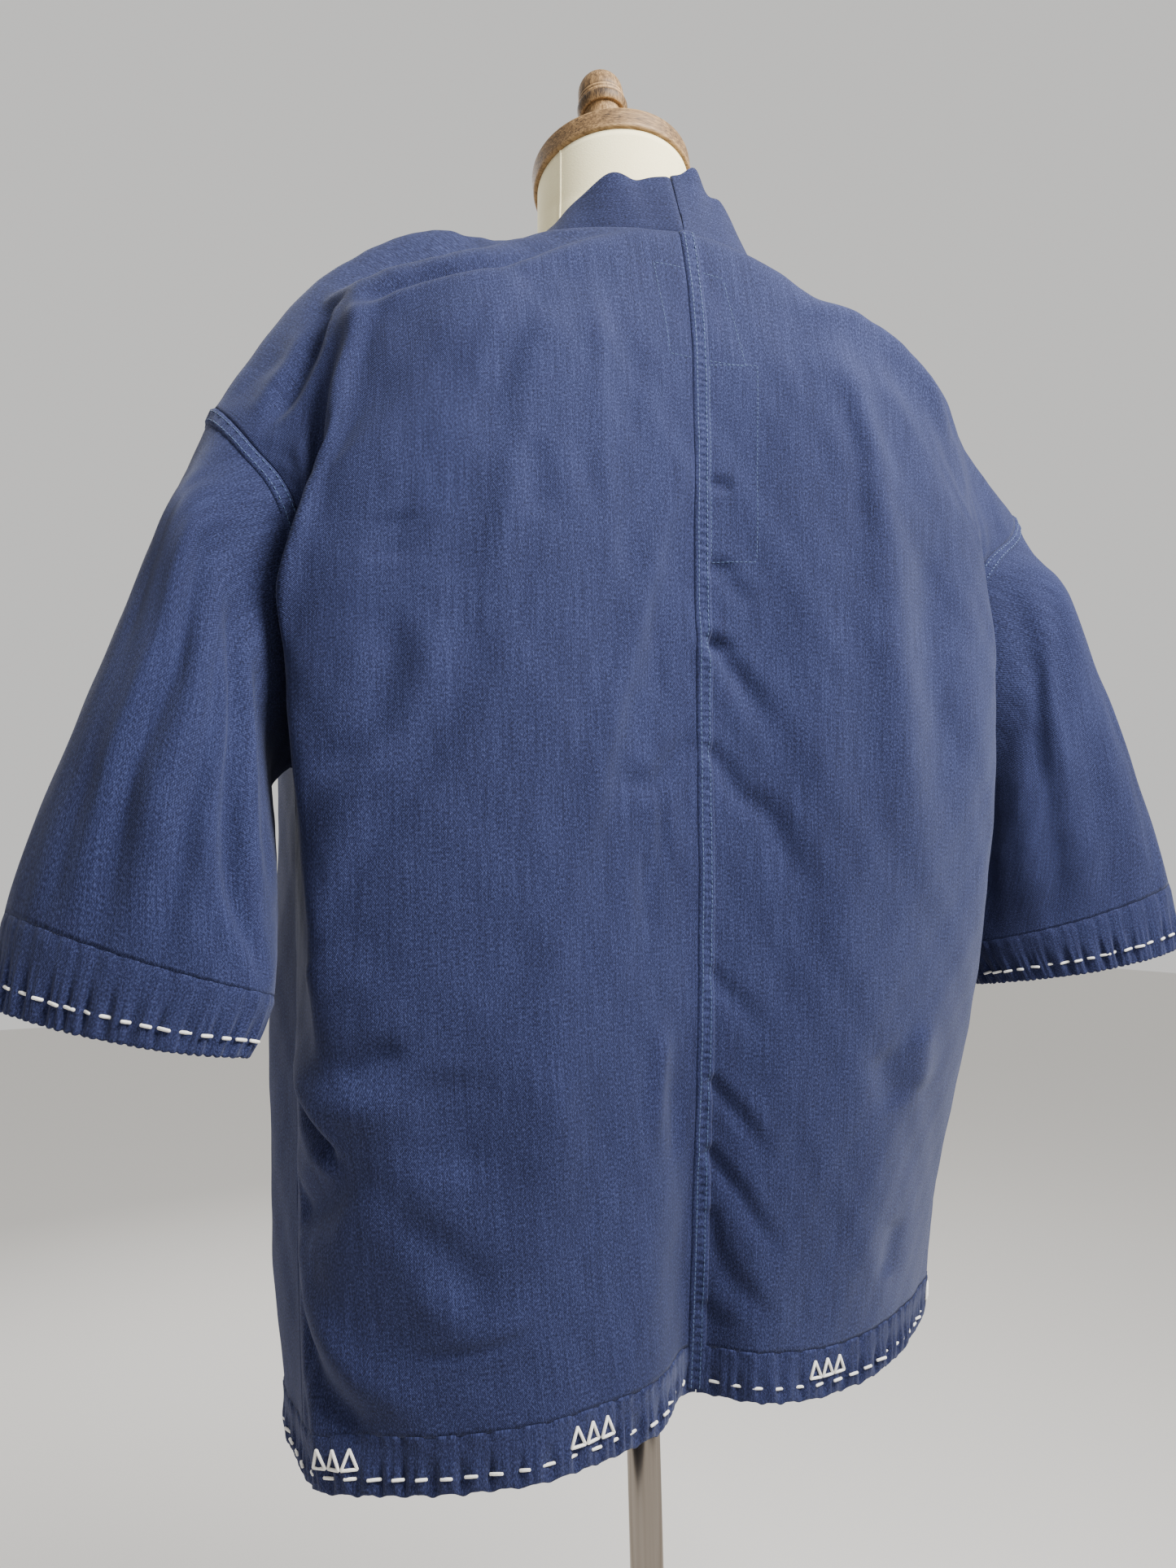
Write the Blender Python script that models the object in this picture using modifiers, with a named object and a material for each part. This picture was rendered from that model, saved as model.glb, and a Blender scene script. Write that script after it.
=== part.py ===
"""Kimono jacket of indigo slub twill, worn by a limbless dress form on a stand.

Metres, +Z up. The origin is on the floor under the stand's pole. The wearer faces -Y, so the
jacket's back is at +Y and the wearer's left is at +X. The cloth pieces are lofts between the
sections in the tables below: each wall has its outer skin there and its inner skin one cloth
thickness further in.
"""
import math

import bmesh
import bpy
import numpy as np

# Cloth
CLOTH = 0.0020
BAND_CLOTH = 0.0026
SEAM_GAP = 0.0005
MITRE_LIMIT = math.radians(115.0)
# Reach of the measured slope on each side of a row
REACH = 0.004

# Body panel, measured along its length from the back hem, over the shoulder, to the front hem
PANEL_LENGTH = 1.648
HEM_DEPTH = 0.028
UNDERARM_RUN = 0.425
CREST_RUN = 0.800
NECK_RUN = 0.735

# Hem puckers, cuff puckers
HEM_PUCKERS = 28
CUFF_PUCKERS = 26
SAMPLES_PER_PUCKER = 4
PUCKER_HEIGHT = 0.0013
BAND_PROUD = 0.0008

# The lower body is dragged towards the back on the wearer's left and to the front on the right
DRAG = 0.19
DRAG_TOP = 1.15
DRAG_BOTTOM = 0.68

# The hem sinks into a vertical groove at the centre back
GROOVE_DEPTH = 0.037
GROOVE_CENTRE = 0.006
GROOVE_WIDTH = 0.026
GROOVE_RUN = 0.340

# Where the named columns of the body's sections lie across the panel, and the built columns
ACROSS = (0.0, 0.33, 0.70, 0.84, 1.0)
BODY_ACROSS = (0.0, 0.03, 0.075, 0.13, 0.20, 0.30, 0.40, 0.50, 0.60, 0.68, 0.76, 0.84, 0.92, 1.0)

# Steps along the panel: hem to underarm, underarm to collar seam, collar seam to crest
LOW_STEPS = 7
BACK_STEPS = 11
CREST_STEPS = 4
SLEEVE_ROWS = 14
COLLAR_COLUMNS = 4
COLLAR_START = 0.010
# The right half of the collar stands a little higher beside the neck
RIGHT_COLLAR_LIFT = 0.012
RIGHT_COLLAR_RUN = 0.785
RIGHT_COLLAR_REACH = 0.035

# Sections of the left body panel: name, run, then the points edge, mid, ridge and dip.
# The edge is the centre back, then the neck seam, then the front edge.
SECTIONS = (
    ("back hem edge", 0.000,
     (0.000, 0.120, 0.683), (0.105, 0.124, 0.681), (0.212, 0.070, 0.676), (0.232, 0.045, 0.673)),
    ("above back hem", 0.038,
     (0.000, 0.120, 0.721), (0.105, 0.125, 0.719), (0.214, 0.072, 0.714), (0.235, 0.046, 0.711)),
    ("back lower", 0.117,
     (0.000, 0.120, 0.800), (0.107, 0.130, 0.797), (0.221, 0.078, 0.790), (0.239, 0.046, 0.787)),
    ("back hip", 0.227,
     (0.000, 0.122, 0.910), (0.110, 0.138, 0.906), (0.236, 0.092, 0.900), (0.241, 0.050, 0.896)),
    ("back waist", 0.347,
     (0.000, 0.125, 1.030), (0.112, 0.144, 1.026), (0.243, 0.103, 1.016), (0.241, 0.058, 1.008)),
    ("back underarm", 0.425,
     (0.000, 0.128, 1.110), (0.113, 0.147, 1.105), (0.251, 0.108, 1.100), (0.241, 0.073, 1.088)),
    ("side fold", 0.490,
     (0.000, 0.131, 1.175), (0.112, 0.149, 1.170), (0.253, 0.113, 1.155), (0.237, 0.102, 1.150)),
    ("blade", 0.580,
     (0.000, 0.136, 1.265), (0.110, 0.150, 1.260), (0.238, 0.121, 1.222), (0.234, 0.113, 1.212)),
    ("upper back", 0.650,
     (0.000, 0.138, 1.325), (0.108, 0.149, 1.322), (0.219, 0.122, 1.275), (0.238, 0.111, 1.246)),
    ("back neck", 0.705,
     (0.000, 0.133, 1.385), (0.115, 0.130, 1.372), (0.212, 0.116, 1.325), (0.237, 0.105, 1.278)),
    ("collar seam", 0.735,
     (0.000, 0.124, 1.420), (0.125, 0.114, 1.390), (0.213, 0.108, 1.346), (0.239, 0.100, 1.298)),
    ("fold edge", 0.750,
     (0.045, 0.104, 1.425), (0.134, 0.095, 1.398), (0.213, 0.096, 1.359), (0.242, 0.094, 1.311)),
    ("dip", 0.775,
     (0.080, 0.075, 1.429), (0.137, 0.066, 1.406), (0.222, 0.072, 1.364), (0.250, 0.082, 1.317)),
    ("crest", 0.800,
     (0.088, 0.045, 1.437), (0.137, 0.033, 1.446), (0.222, 0.042, 1.394), (0.258, 0.057, 1.340)),
    ("front roll", 0.845,
     (0.084, 0.002, 1.428), (0.137, -0.008, 1.436), (0.216, 0.003, 1.384), (0.252, 0.020, 1.330)),
    ("front upper", 0.920,
     (0.074, -0.052, 1.388), (0.135, -0.056, 1.380), (0.210, -0.040, 1.330), (0.243, -0.018, 1.278)),
    ("front chest", 1.030,
     (0.066, -0.108, 1.295), (0.135, -0.114, 1.288), (0.217, -0.084, 1.252), (0.243, -0.045, 1.205)),
    ("front bust", 1.130,
     (0.063, -0.127, 1.195), (0.133, -0.135, 1.188), (0.222, -0.098, 1.160), (0.247, -0.048, 1.125)),
    ("front underarm", 1.223,
     (0.061, -0.130, 1.110), (0.132, -0.138, 1.105), (0.226, -0.100, 1.098), (0.240, -0.038, 1.082)),
    ("front waist", 1.301,
     (0.060, -0.131, 1.030), (0.130, -0.138, 1.026), (0.228, -0.098, 1.016), (0.243, -0.030, 1.008)),
    ("front hip", 1.421,
     (0.060, -0.130, 0.910), (0.130, -0.137, 0.906), (0.229, -0.095, 0.900), (0.249, -0.028, 0.896)),
    ("front lower", 1.531,
     (0.060, -0.127, 0.800), (0.128, -0.134, 0.797), (0.224, -0.092, 0.790), (0.249, -0.028, 0.787)),
    ("above front hem", 1.610,
     (0.060, -0.122, 0.721), (0.126, -0.129, 0.719), (0.216, -0.088, 0.714), (0.243, -0.026, 0.711)),
    ("front hem edge", 1.648,
     (0.060, -0.120, 0.683), (0.125, -0.127, 0.681), (0.213, -0.087, 0.676), (0.241, -0.025, 0.673)),
)

# Side seam below the arm: run from the hem, point
SIDE_SEAM = (
    (0.000, (0.236, 0.028, 0.671)),
    (0.038, (0.238, 0.028, 0.709)),
    (0.117, (0.239, 0.028, 0.785)),
    (0.227, (0.238, 0.028, 0.894)),
    (0.347, (0.237, 0.030, 1.004)),
    (0.425, (0.239, 0.040, 1.078)),
)

# Armhole from the underarm up the back, over the shoulder and down the front: run, point
ARMHOLE = (
    (0.425, (0.239, 0.040, 1.078)),
    (0.458, (0.236, 0.060, 1.108)),
    (0.500, (0.235, 0.078, 1.150)),
    (0.560, (0.238, 0.094, 1.196)),
    (0.630, (0.250, 0.103, 1.230)),
    (0.720, (0.270, 0.098, 1.256)),
    (0.800, (0.289, 0.070, 1.285)),
    (0.880, (0.282, 0.030, 1.262)),
    (0.960, (0.264, -0.002, 1.222)),
    (1.060, (0.246, -0.010, 1.168)),
    (1.150, (0.240, 0.008, 1.112)),
    (1.223, (0.239, 0.040, 1.078)),
)

# Sections of the left sleeve: name, metres from the armhole, then the points
# top, back, under and front
SLEEVE_SECTIONS = (
    ("upper", 0.065,
     (0.312, 0.070, 1.222), (0.288, 0.120, 1.165), (0.255, 0.058, 1.058), (0.286, 0.000, 1.140)),
    ("elbow", 0.140,
     (0.335, 0.075, 1.156), (0.303, 0.134, 1.100), (0.254, 0.082, 1.015), (0.300, 0.016, 1.068)),
    ("fore", 0.215,
     (0.362, 0.083, 1.083), (0.320, 0.141, 1.033), (0.255, 0.100, 0.980), (0.318, 0.038, 1.008)),
    ("cuff seam", 0.285,
     (0.392, 0.090, 0.991), (0.331, 0.143, 0.968), (0.259, 0.118, 0.943), (0.329, 0.064, 0.957)),
    ("cuff edge", 0.333,
     (0.398, 0.094, 0.946), (0.339, 0.142, 0.929), (0.272, 0.122, 0.914), (0.338, 0.068, 0.921)),
)
CUFF_SEAM = 0.285
CUFF_EDGE = 0.333
SLEEVE_SQUARENESS = 0.85
# The right sleeve hangs with its inner edge further forward, its back a little higher
# and its top closer in, and the right panel is drawn in at the side
RIGHT_SLEEVE_TURN = -0.070
RIGHT_SLEEVE_LIFT = 0.005
RIGHT_SLEEVE_SLACK = 0.006
RIGHT_TUCK = 0.014
RIGHT_TUCK_RUN = 0.520
RIGHT_TUCK_REACH = 0.130
RIGHT_DROP = 0.008
RIGHT_DROP_REACH = 0.150
# The right half of the back hem hangs a little lower
HEM_SAG = 0.006
HEM_SAG_RUN = 0.300
HEM_SAG_CENTRE = 0.080
HEM_SAG_REACH = 0.050

# Collar band, from the centre back round the neck and down the front:
# name, run of the seam on the body panel, then the point of the inner edge
COLLAR_SECTIONS = (
    ("centre back", 0.735, (0.000, 0.105, 1.470)),
    ("back", 0.750, (0.041, 0.094, 1.466)),
    ("neck side", 0.775, (0.071, 0.066, 1.446)),
    ("neck point", 0.800, (0.076, 0.036, 1.444)),
    ("neck front", 0.845, (0.070, -0.010, 1.442)),
    ("throat", 0.920, (0.044, -0.066, 1.392)),
    ("chest", 1.030, (0.024, -0.120, 1.290)),
    ("bust", 1.130, (0.016, -0.137, 1.192)),
    ("waist", 1.301, (0.015, -0.138, 1.030)),
    ("hip", 1.421, (0.016, -0.136, 0.910)),
    ("lower", 1.531, (0.017, -0.132, 0.800)),
    ("hem", 1.648, (0.018, -0.124, 0.683)),
)

# Dress form: height, half width, front and back of the torso's sections
TORSO_SECTIONS = (
    (0.800, 0.120, -0.078, 0.082),
    (0.815, 0.146, -0.098, 0.090),
    (0.860, 0.165, -0.108, 0.097),
    (0.940, 0.170, -0.108, 0.104),
    (1.030, 0.153, -0.098, 0.090),
    (1.110, 0.135, -0.092, 0.080),
    (1.190, 0.146, -0.106, 0.090),
    (1.270, 0.163, -0.110, 0.106),
    (1.330, 0.176, -0.088, 0.108),
    (1.370, 0.172, -0.062, 0.096),
    (1.398, 0.146, -0.042, 0.082),
    (1.416, 0.1072, -0.030, 0.072),
    (1.430, 0.0752, -0.034, 0.064),
    (1.442, 0.063, -0.042, 0.058),
    (1.460, 0.059, -0.051, 0.054),
    (1.490, 0.0565, -0.0545, 0.0545),
)
TORSO_SIDES = 24
NECK_RADIUS = 0.0570
CAP_TILT = math.radians(12.0)
CAP_CENTRE = 1.537
CAP_THICKNESS = 0.0165
POLE_RADIUS = 0.0115
POLE_BOTTOM = 0.0300
FIT_GAP = 0.0003

# Turned profiles from the top down, radius and height: the cap's height is above its underside,
# the finial's above the cap's rim
CAP_PROFILE = (
    (0.0, 0.0275),
    (0.0230, 0.0275),
    (0.0360, 0.0240),
    (0.0480, 0.0200),
    (0.0585, 0.0165),
    (0.0600, 0.0150),
    (0.0600, 0.0015),
    (0.0585, 0.0),
    (0.0, 0.0),
)
FINIAL_PROFILE = (
    (0.0, 0.0930),
    (0.0061, 0.0921),
    (0.0100, 0.0900),
    (0.0133, 0.0870),
    (0.0156, 0.0835),
    (0.0169, 0.0800),
    (0.0175, 0.0760),
    (0.0175, 0.0724),
    (0.0170, 0.0708),
    (0.0181, 0.0692),
    (0.0175, 0.0674),
    (0.0183, 0.0660),
    (0.0179, 0.0648),
    (0.0190, 0.0634),
    (0.0196, 0.0614),
    (0.0186, 0.0581),
    (0.0170, 0.0559),
    (0.0145, 0.0566),
    (0.0140, 0.0545),
    (0.0149, 0.0460),
    (0.0178, 0.0190),
    (0.0210, 0.0160),
    (0.0210, 0.0113),
    (0.0, 0.0113),
)
BASE_PROFILE = (
    (0.0, 0.0300),
    (0.0240, 0.0300),
    (0.0300, 0.0280),
    (0.0340, 0.0220),
    (0.0420, 0.0180),
    (0.0900, 0.0140),
    (0.1400, 0.0110),
    (0.1480, 0.0095),
    (0.1500, 0.0065),
    (0.1500, 0.0),
    (0.0, 0.0),
)
TURNED_STEPS = 28
BASE_STEPS = 48

# Finishes: base colour, roughness, metallic
INDIGO = ((0.052, 0.072, 0.160, 1.0), 0.90, 0.0)
JERSEY = ((0.83, 0.77, 0.63, 1.0), 0.85, 0.0)
WOOD = ((0.34, 0.225, 0.130, 1.0), 0.55, 0.0)
METAL = ((0.38, 0.32, 0.26, 1.0), 0.25, 1.0)


def smooth(knots, values, at, flat_start=False):
    """Run a monotone cubic through the values at the knots, one for each trailing number."""
    knots = np.asarray(knots, float)
    values = np.asarray(values, float)
    at = np.clip(np.atleast_1d(np.asarray(at, float)), knots[0], knots[-1])
    column = (-1,) + (1,) * (values.ndim - 1)
    step = np.diff(knots).reshape(column)
    slope = np.diff(values, axis=0) / step
    tangent = np.zeros_like(values)
    tangent[0] = slope[0]
    tangent[-1] = slope[-1]
    before, after = slope[:-1], slope[1:]
    same_way = before * after > 0
    weight_before = 2 * step[1:] + step[:-1]
    weight_after = step[1:] + 2 * step[:-1]
    safe_before = np.where(same_way, before, 1.0)
    safe_after = np.where(same_way, after, 1.0)
    mean = (weight_before + weight_after) / (weight_before / safe_before + weight_after / safe_after)
    tangent[1:-1] = np.where(same_way, mean, 0.0)
    if flat_start:
        tangent[0, ..., 1:] = 0.0
    piece = np.clip(np.searchsorted(knots, at, side="right") - 1, 0, len(knots) - 2)
    length = (knots[piece + 1] - knots[piece]).reshape(column)
    t = ((at - knots[piece]) / (knots[piece + 1] - knots[piece])).reshape(column)
    return (
        values[piece] * (2 * t**3 - 3 * t**2 + 1)
        + tangent[piece] * length * (t**3 - 2 * t**2 + t)
        + values[piece + 1] * (3 * t**2 - 2 * t**3)
        + tangent[piece + 1] * length * (t**3 - t**2)
    )


def unit(vectors):
    """Scale vectors to length one."""
    return vectors / np.maximum(np.linalg.norm(vectors, axis=-1, keepdims=True), 1e-12)


def drag(points, side):
    """Shear the lower body so that its left swings back and its right swings forward."""
    moved = points.copy()
    share = np.clip((DRAG_TOP - points[..., 2]) / (DRAG_TOP - DRAG_BOTTOM), 0.0, 1.1)
    moved[..., 1] += DRAG * share**1.2 * points[..., 0] * side
    return moved


def groove(points, runs, side):
    """Sink the centre back towards the hem, as a shallow vertical fold."""
    moved = points.copy()
    fade = np.clip(1.0 - runs / GROOVE_RUN, 0.0, 1.0) ** 1.5
    offset = (points[..., 0] * side - GROOVE_CENTRE) / GROOVE_WIDTH
    moved[..., 1] -= GROOVE_DEPTH * fade[:, None] * np.exp(-offset**2)
    return moved


def hump(runs, centre, reach):
    """Give a smooth rise to 1 at the centre."""
    return np.exp(-(((runs - centre) / reach) ** 2))


def side_edge(runs, side):
    """Give the panel's outer edge: side seam, armhole, then side seam again."""
    mirrored = np.where(runs > PANEL_LENGTH / 2, PANEL_LENGTH - runs, runs)
    seam = smooth([r for r, _ in SIDE_SEAM], [p for _, p in SIDE_SEAM], mirrored)
    hole = smooth([r for r, _ in ARMHOLE], [p for _, p in ARMHOLE], runs)
    if side < 0:
        hole = hole + hump(runs, CREST_RUN, RIGHT_DROP_REACH)[:, None] * (RIGHT_DROP, 0.0, -RIGHT_DROP)
    return np.where((mirrored < UNDERARM_RUN)[:, None], seam, hole)


def panel_skin(runs, across, side):
    """Place points on a body panel: side 1 is the wearer's left, -1 the right."""
    runs = np.atleast_1d(np.asarray(runs, float))
    table_runs = [row[1] for row in SECTIONS]
    table = np.array([row[2:] for row in SECTIONS])
    columns = smooth(table_runs, table, runs)
    columns = np.concatenate([columns, side_edge(runs, side)[:, None]], axis=1)
    if side < 0:
        from_hem = np.minimum(runs, PANEL_LENGTH - runs)
        columns[:, 2:, 0] -= RIGHT_TUCK * hump(from_hem, RIGHT_TUCK_RUN, RIGHT_TUCK_REACH)[:, None]
    skin = smooth(ACROSS, columns.transpose(1, 0, 2), across, flat_start=True).transpose(1, 0, 2)
    skin = groove(drag(skin, side), runs, side)
    if side < 0:
        fade = np.clip(1.0 - runs / HEM_SAG_RUN, 0.0, 1.0)[:, None]
        skin[..., 2] -= HEM_SAG * fade * hump(skin[..., 0], HEM_SAG_CENTRE, HEM_SAG_REACH)
    skin[..., 0] *= side
    return skin


def panel_along(runs, across, side):
    """Give the directions of a body panel's columns at its rows."""
    runs = np.atleast_1d(runs)
    return panel_skin(runs + REACH, across, side) - panel_skin(runs - REACH, across, side)


def outward(skin, along, side, ring=False):
    """Give the outward normals of a grid of points from the directions along its columns."""
    if ring:
        across = np.roll(skin, -1, axis=1) - np.roll(skin, 1, axis=1)
    else:
        across = np.gradient(skin, axis=1)
    return unit(np.cross(along, across)) * side


def mitre(own, other):
    """Share one normal between two walls at their seam, unless they turn away too sharply."""
    cosine = (own * other).sum(axis=-1, keepdims=True)
    shared = cosine > math.cos(MITRE_LIMIT)
    return np.where(shared, unit(own + other), own), np.where(shared, unit(own + other), other)


def add_object(name, mesh, finish):
    """Put a mesh into the jacket's collection with a plain material of its own."""
    colour, roughness, metallic = finish
    material = bpy.data.materials.new(name)
    material.use_nodes = True
    shader = material.node_tree.nodes["Principled BSDF"]
    shader.inputs["Base Color"].default_value = colour
    shader.inputs["Roughness"].default_value = roughness
    shader.inputs["Metallic"].default_value = metallic
    mesh.materials.append(material)
    piece = bpy.data.objects.new(name, mesh)
    collection.objects.link(piece)
    return piece


def add_wall(name, outer, inner, finish, ring=False):
    """Build a closed wall between two grids of points, with rims along the open edges."""
    rows, columns = outer.shape[:2]
    mesh = bpy.data.meshes.new(name)
    bm = bmesh.new()
    outer_verts = [[bm.verts.new(p) for p in row] for row in outer]
    inner_verts = [[bm.verts.new(p) for p in row] for row in inner]
    spans = columns if ring else columns - 1
    for i in range(rows - 1):
        for j in range(spans):
            k = (j + 1) % columns
            for side in (outer_verts, inner_verts):
                bm.faces.new((side[i][j], side[i + 1][j], side[i + 1][k], side[i][k]))
    for i in (0, rows - 1):
        for j in range(spans):
            k = (j + 1) % columns
            bm.faces.new((outer_verts[i][j], outer_verts[i][k], inner_verts[i][k], inner_verts[i][j]))
    if not ring:
        for j in (0, columns - 1):
            for i in range(rows - 1):
                o, n = outer_verts, inner_verts
                bm.faces.new((o[i][j], o[i + 1][j], n[i + 1][j], n[i][j]))
    bmesh.ops.recalc_face_normals(bm, faces=bm.faces)
    bmesh.ops.triangulate(bm, faces=bm.faces)
    bm.to_mesh(mesh)
    bm.free()
    mesh.shade_smooth()
    return add_object(name, mesh, finish)


def add_turned(name, profile, finish, steps, location=(0.0, 0.0, 0.0), tilt=0.0):
    """Turn a profile of radius and height, given from the top down, round the vertical."""
    mesh = bpy.data.meshes.new(name)
    points = [(radius, 0.0, height) for radius, height in profile]
    mesh.from_pydata(points, [(i, i + 1) for i in range(len(points) - 1)], [])
    piece = add_object(name, mesh, finish)
    piece.location = location
    piece.rotation_euler = (tilt, 0.0, 0.0)
    screw = piece.modifiers.new("Screw", "SCREW")
    screw.steps = steps
    screw.render_steps = steps
    screw.use_merge_vertices = True
    screw.merge_threshold = 0.00005
    screw.use_smooth_shade = True
    return piece


def body_runs():
    """Give the rows of a body panel, closest together over the shoulder."""
    hem = HEM_DEPTH + SEAM_GAP / 2
    return np.concatenate([
        np.linspace(hem, UNDERARM_RUN, LOW_STEPS + 1),
        np.linspace(UNDERARM_RUN, NECK_RUN, BACK_STEPS + 1)[1:],
        np.linspace(NECK_RUN, CREST_RUN, CREST_STEPS + 1)[1:],
        np.linspace(CREST_RUN, PANEL_LENGTH - UNDERARM_RUN, BACK_STEPS + CREST_STEPS + 1)[1:],
        np.linspace(PANEL_LENGTH - UNDERARM_RUN, PANEL_LENGTH - hem, LOW_STEPS + 1)[1:],
    ])


def nearest_row(runs, run):
    """Find the row of a panel that lies at a run."""
    return int(np.argmin(np.abs(runs - run)))


def sleeve_angles(ring):
    """Give each point of the armhole ring its angle: pi under the arm, zero on top."""
    top = BACK_STEPS + CREST_STEPS
    lengths = np.linalg.norm(np.roll(ring, -1, axis=0) - ring, axis=1)
    reach = np.concatenate([[0.0], np.cumsum(lengths)])
    behind = math.pi * (1.0 - reach[: top + 1] / reach[top])
    before = -math.pi * (reach[top + 1 : -1] - reach[top]) / (reach[-1] - reach[top])
    return np.concatenate([behind, before])


def sleeve_skin(ring, side, metres):
    """Loft a sleeve from the armhole ring through its sections, one row for each distance."""
    angle = sleeve_angles(ring)[:, None]
    cosine, sine = np.cos(angle), np.sin(angle)
    bent_cosine = np.sign(cosine) * np.abs(cosine) ** SLEEVE_SQUARENESS
    bent_sine = np.sign(sine) * np.abs(sine) ** SLEEVE_SQUARENESS
    knots = [0.0]
    rows = [ring * (side, 1.0, 1.0)]
    for _, distance, *points in SLEEVE_SECTIONS:
        upper, back, under, front = np.array(points)
        if side < 0:
            share = min(distance / CUFF_SEAM, 1.0)
            turn = np.array((0.0, RIGHT_SLEEVE_TURN, RIGHT_SLEEVE_LIFT)) * share**1.6
            upper = upper - np.array((RIGHT_SLEEVE_SLACK * (1.0 - share), 0.0, 0.0))
            under = under + turn
            back = back + turn * (0.0, 0.3, 1.0)
            front = front + turn * (0.0, 0.6, 0.5)
        middle = (upper + under) / 2 * cosine**2 + (back + front) / 2 * sine**2
        rows.append(middle + (upper - under) / 2 * bent_cosine + (back - front) / 2 * bent_sine)
        knots.append(distance)
    skin = smooth(knots, np.array(rows), metres)
    skin[..., 0] *= side
    return skin


def sleeve_along(ring, side, metres):
    """Give the directions of a sleeve's columns at its rows."""
    metres = np.asarray(metres)
    return sleeve_skin(ring, side, metres + REACH) - sleeve_skin(ring, side, metres - REACH)


def collar_skin(seam, runs, side, shares):
    """Loft the collar band from its seam on the panel to its inner edge."""
    table_runs = [row[1] for row in COLLAR_SECTIONS]
    inner = drag(smooth(table_runs, [row[2] for row in COLLAR_SECTIONS], runs), side)
    if side < 0:
        inner[:, 2] += RIGHT_COLLAR_LIFT * hump(runs, RIGHT_COLLAR_RUN, RIGHT_COLLAR_REACH)
    inner[..., 0] *= side
    shares = np.asarray(shares)[None, :, None]
    return seam[:, None] * (1.0 - shares) + inner[:, None] * shares


def between(rows, place):
    """Read rows of points at fractional places."""
    low = np.clip(np.floor(place).astype(int), 0, len(rows) - 2)
    share = (place - low)[:, None]
    return rows[low] * (1.0 - share) + rows[low + 1] * share


def closed_between(rings, place):
    """Read rings of points at fractional places round them."""
    return np.array([between(np.concatenate([ring, ring[:1]]), place) for ring in rings])


def even_places(points, count):
    """Space places evenly along a polyline."""
    steps = np.linalg.norm(np.diff(points, axis=0), axis=1)
    reach = np.concatenate([[0.0], np.cumsum(steps)])
    return np.interp(np.linspace(0.0, reach[-1], count), reach, np.arange(len(points)))


def pucker_wave(count, rows):
    """Give the raised and sunk places of a puckered band, flat along its seam."""
    wave = np.cos(2 * math.pi * np.arange(count) / SAMPLES_PER_PUCKER)
    depth = np.ones(rows)
    depth[0] = 0.0
    return PUCKER_HEIGHT * depth[:, None] * wave[None, :]


def build_cloth(side, word, finish):
    """Build a body panel with its sleeve, cuff, collar half and hem band."""
    runs = body_runs()
    back_row = nearest_row(runs, UNDERARM_RUN)
    neck_row = nearest_row(runs, NECK_RUN)
    front_row = nearest_row(runs, PANEL_LENGTH - UNDERARM_RUN)
    skin = panel_skin(runs, BODY_ACROSS, side)
    normals = outward(skin, panel_along(runs, BODY_ACROSS, side), side)
    normals[: neck_row + 1, 0, 0] = 0.0
    normals = unit(normals)

    ring = skin[back_row:front_row, -1]
    metres = np.linspace(0.0, CUFF_SEAM, SLEEVE_ROWS)
    metres[0] += SEAM_GAP / 2
    metres[-1] -= SEAM_GAP / 2
    sleeve = sleeve_skin(ring, side, metres)
    sleeve_normals = outward(sleeve, sleeve_along(ring, side, metres), -side, ring=True)
    own, other = mitre(normals[back_row:front_row, -1], sleeve_normals[0])
    normals[back_row:front_row, -1] = own
    sleeve_normals[0] = other
    add_wall("sleeve_" + word, sleeve, sleeve - sleeve_normals * CLOTH, finish, ring=True)
    build_cuff(side, word, ring, sleeve[-1], finish)

    collar_runs = np.append(runs[neck_row:], PANEL_LENGTH)
    last = panel_skin(PANEL_LENGTH, [0.0], side)[0]
    seam = np.concatenate([skin[neck_row:, 0], last])
    collar = collar_skin(seam, collar_runs, side, np.linspace(COLLAR_START, 1.0, COLLAR_COLUMNS))
    collar_normals = outward(collar, np.gradient(collar, axis=0), -side)
    collar_normals[0, :, 0] = 0.0
    collar_normals = unit(collar_normals)
    own, other = mitre(normals[neck_row:, 0], collar_normals[:-1, 0])
    normals[neck_row:, 0] = own
    collar_normals[:-1, 0] = other
    collar[0, :, 0] = side * SEAM_GAP / 2
    add_wall("collar_" + word, collar, collar - collar_normals * BAND_CLOTH, finish)

    outer = skin.copy()
    outer[: neck_row + 1, 0, 0] = side * SEAM_GAP / 2
    outer[:, -1] += unit(skin[:, -2] - skin[:, -1]) * SEAM_GAP / 2
    add_wall("body_" + word, outer, outer - normals * CLOTH, finish)
    build_hem(side, word, skin, finish)


def build_cuff(side, word, ring, last_row, finish):
    """Build the puckered band at the end of a sleeve."""
    count = CUFF_PUCKERS * SAMPLES_PER_PUCKER
    place = even_places(np.concatenate([last_row, last_row[:1]]), count + 1)[:-1]
    metres = [CUFF_SEAM + SEAM_GAP / 2, (CUFF_SEAM + CUFF_EDGE) / 2, CUFF_EDGE]
    skin = closed_between(sleeve_skin(ring, side, metres), place)
    normals = outward(skin, closed_between(sleeve_along(ring, side, metres), place), -side, ring=True)
    skin = skin + normals * (BAND_PROUD + pucker_wave(count, len(metres)))[..., None]
    add_wall("cuff_" + word, skin, skin - normals * BAND_CLOTH, finish, ring=True)


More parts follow.
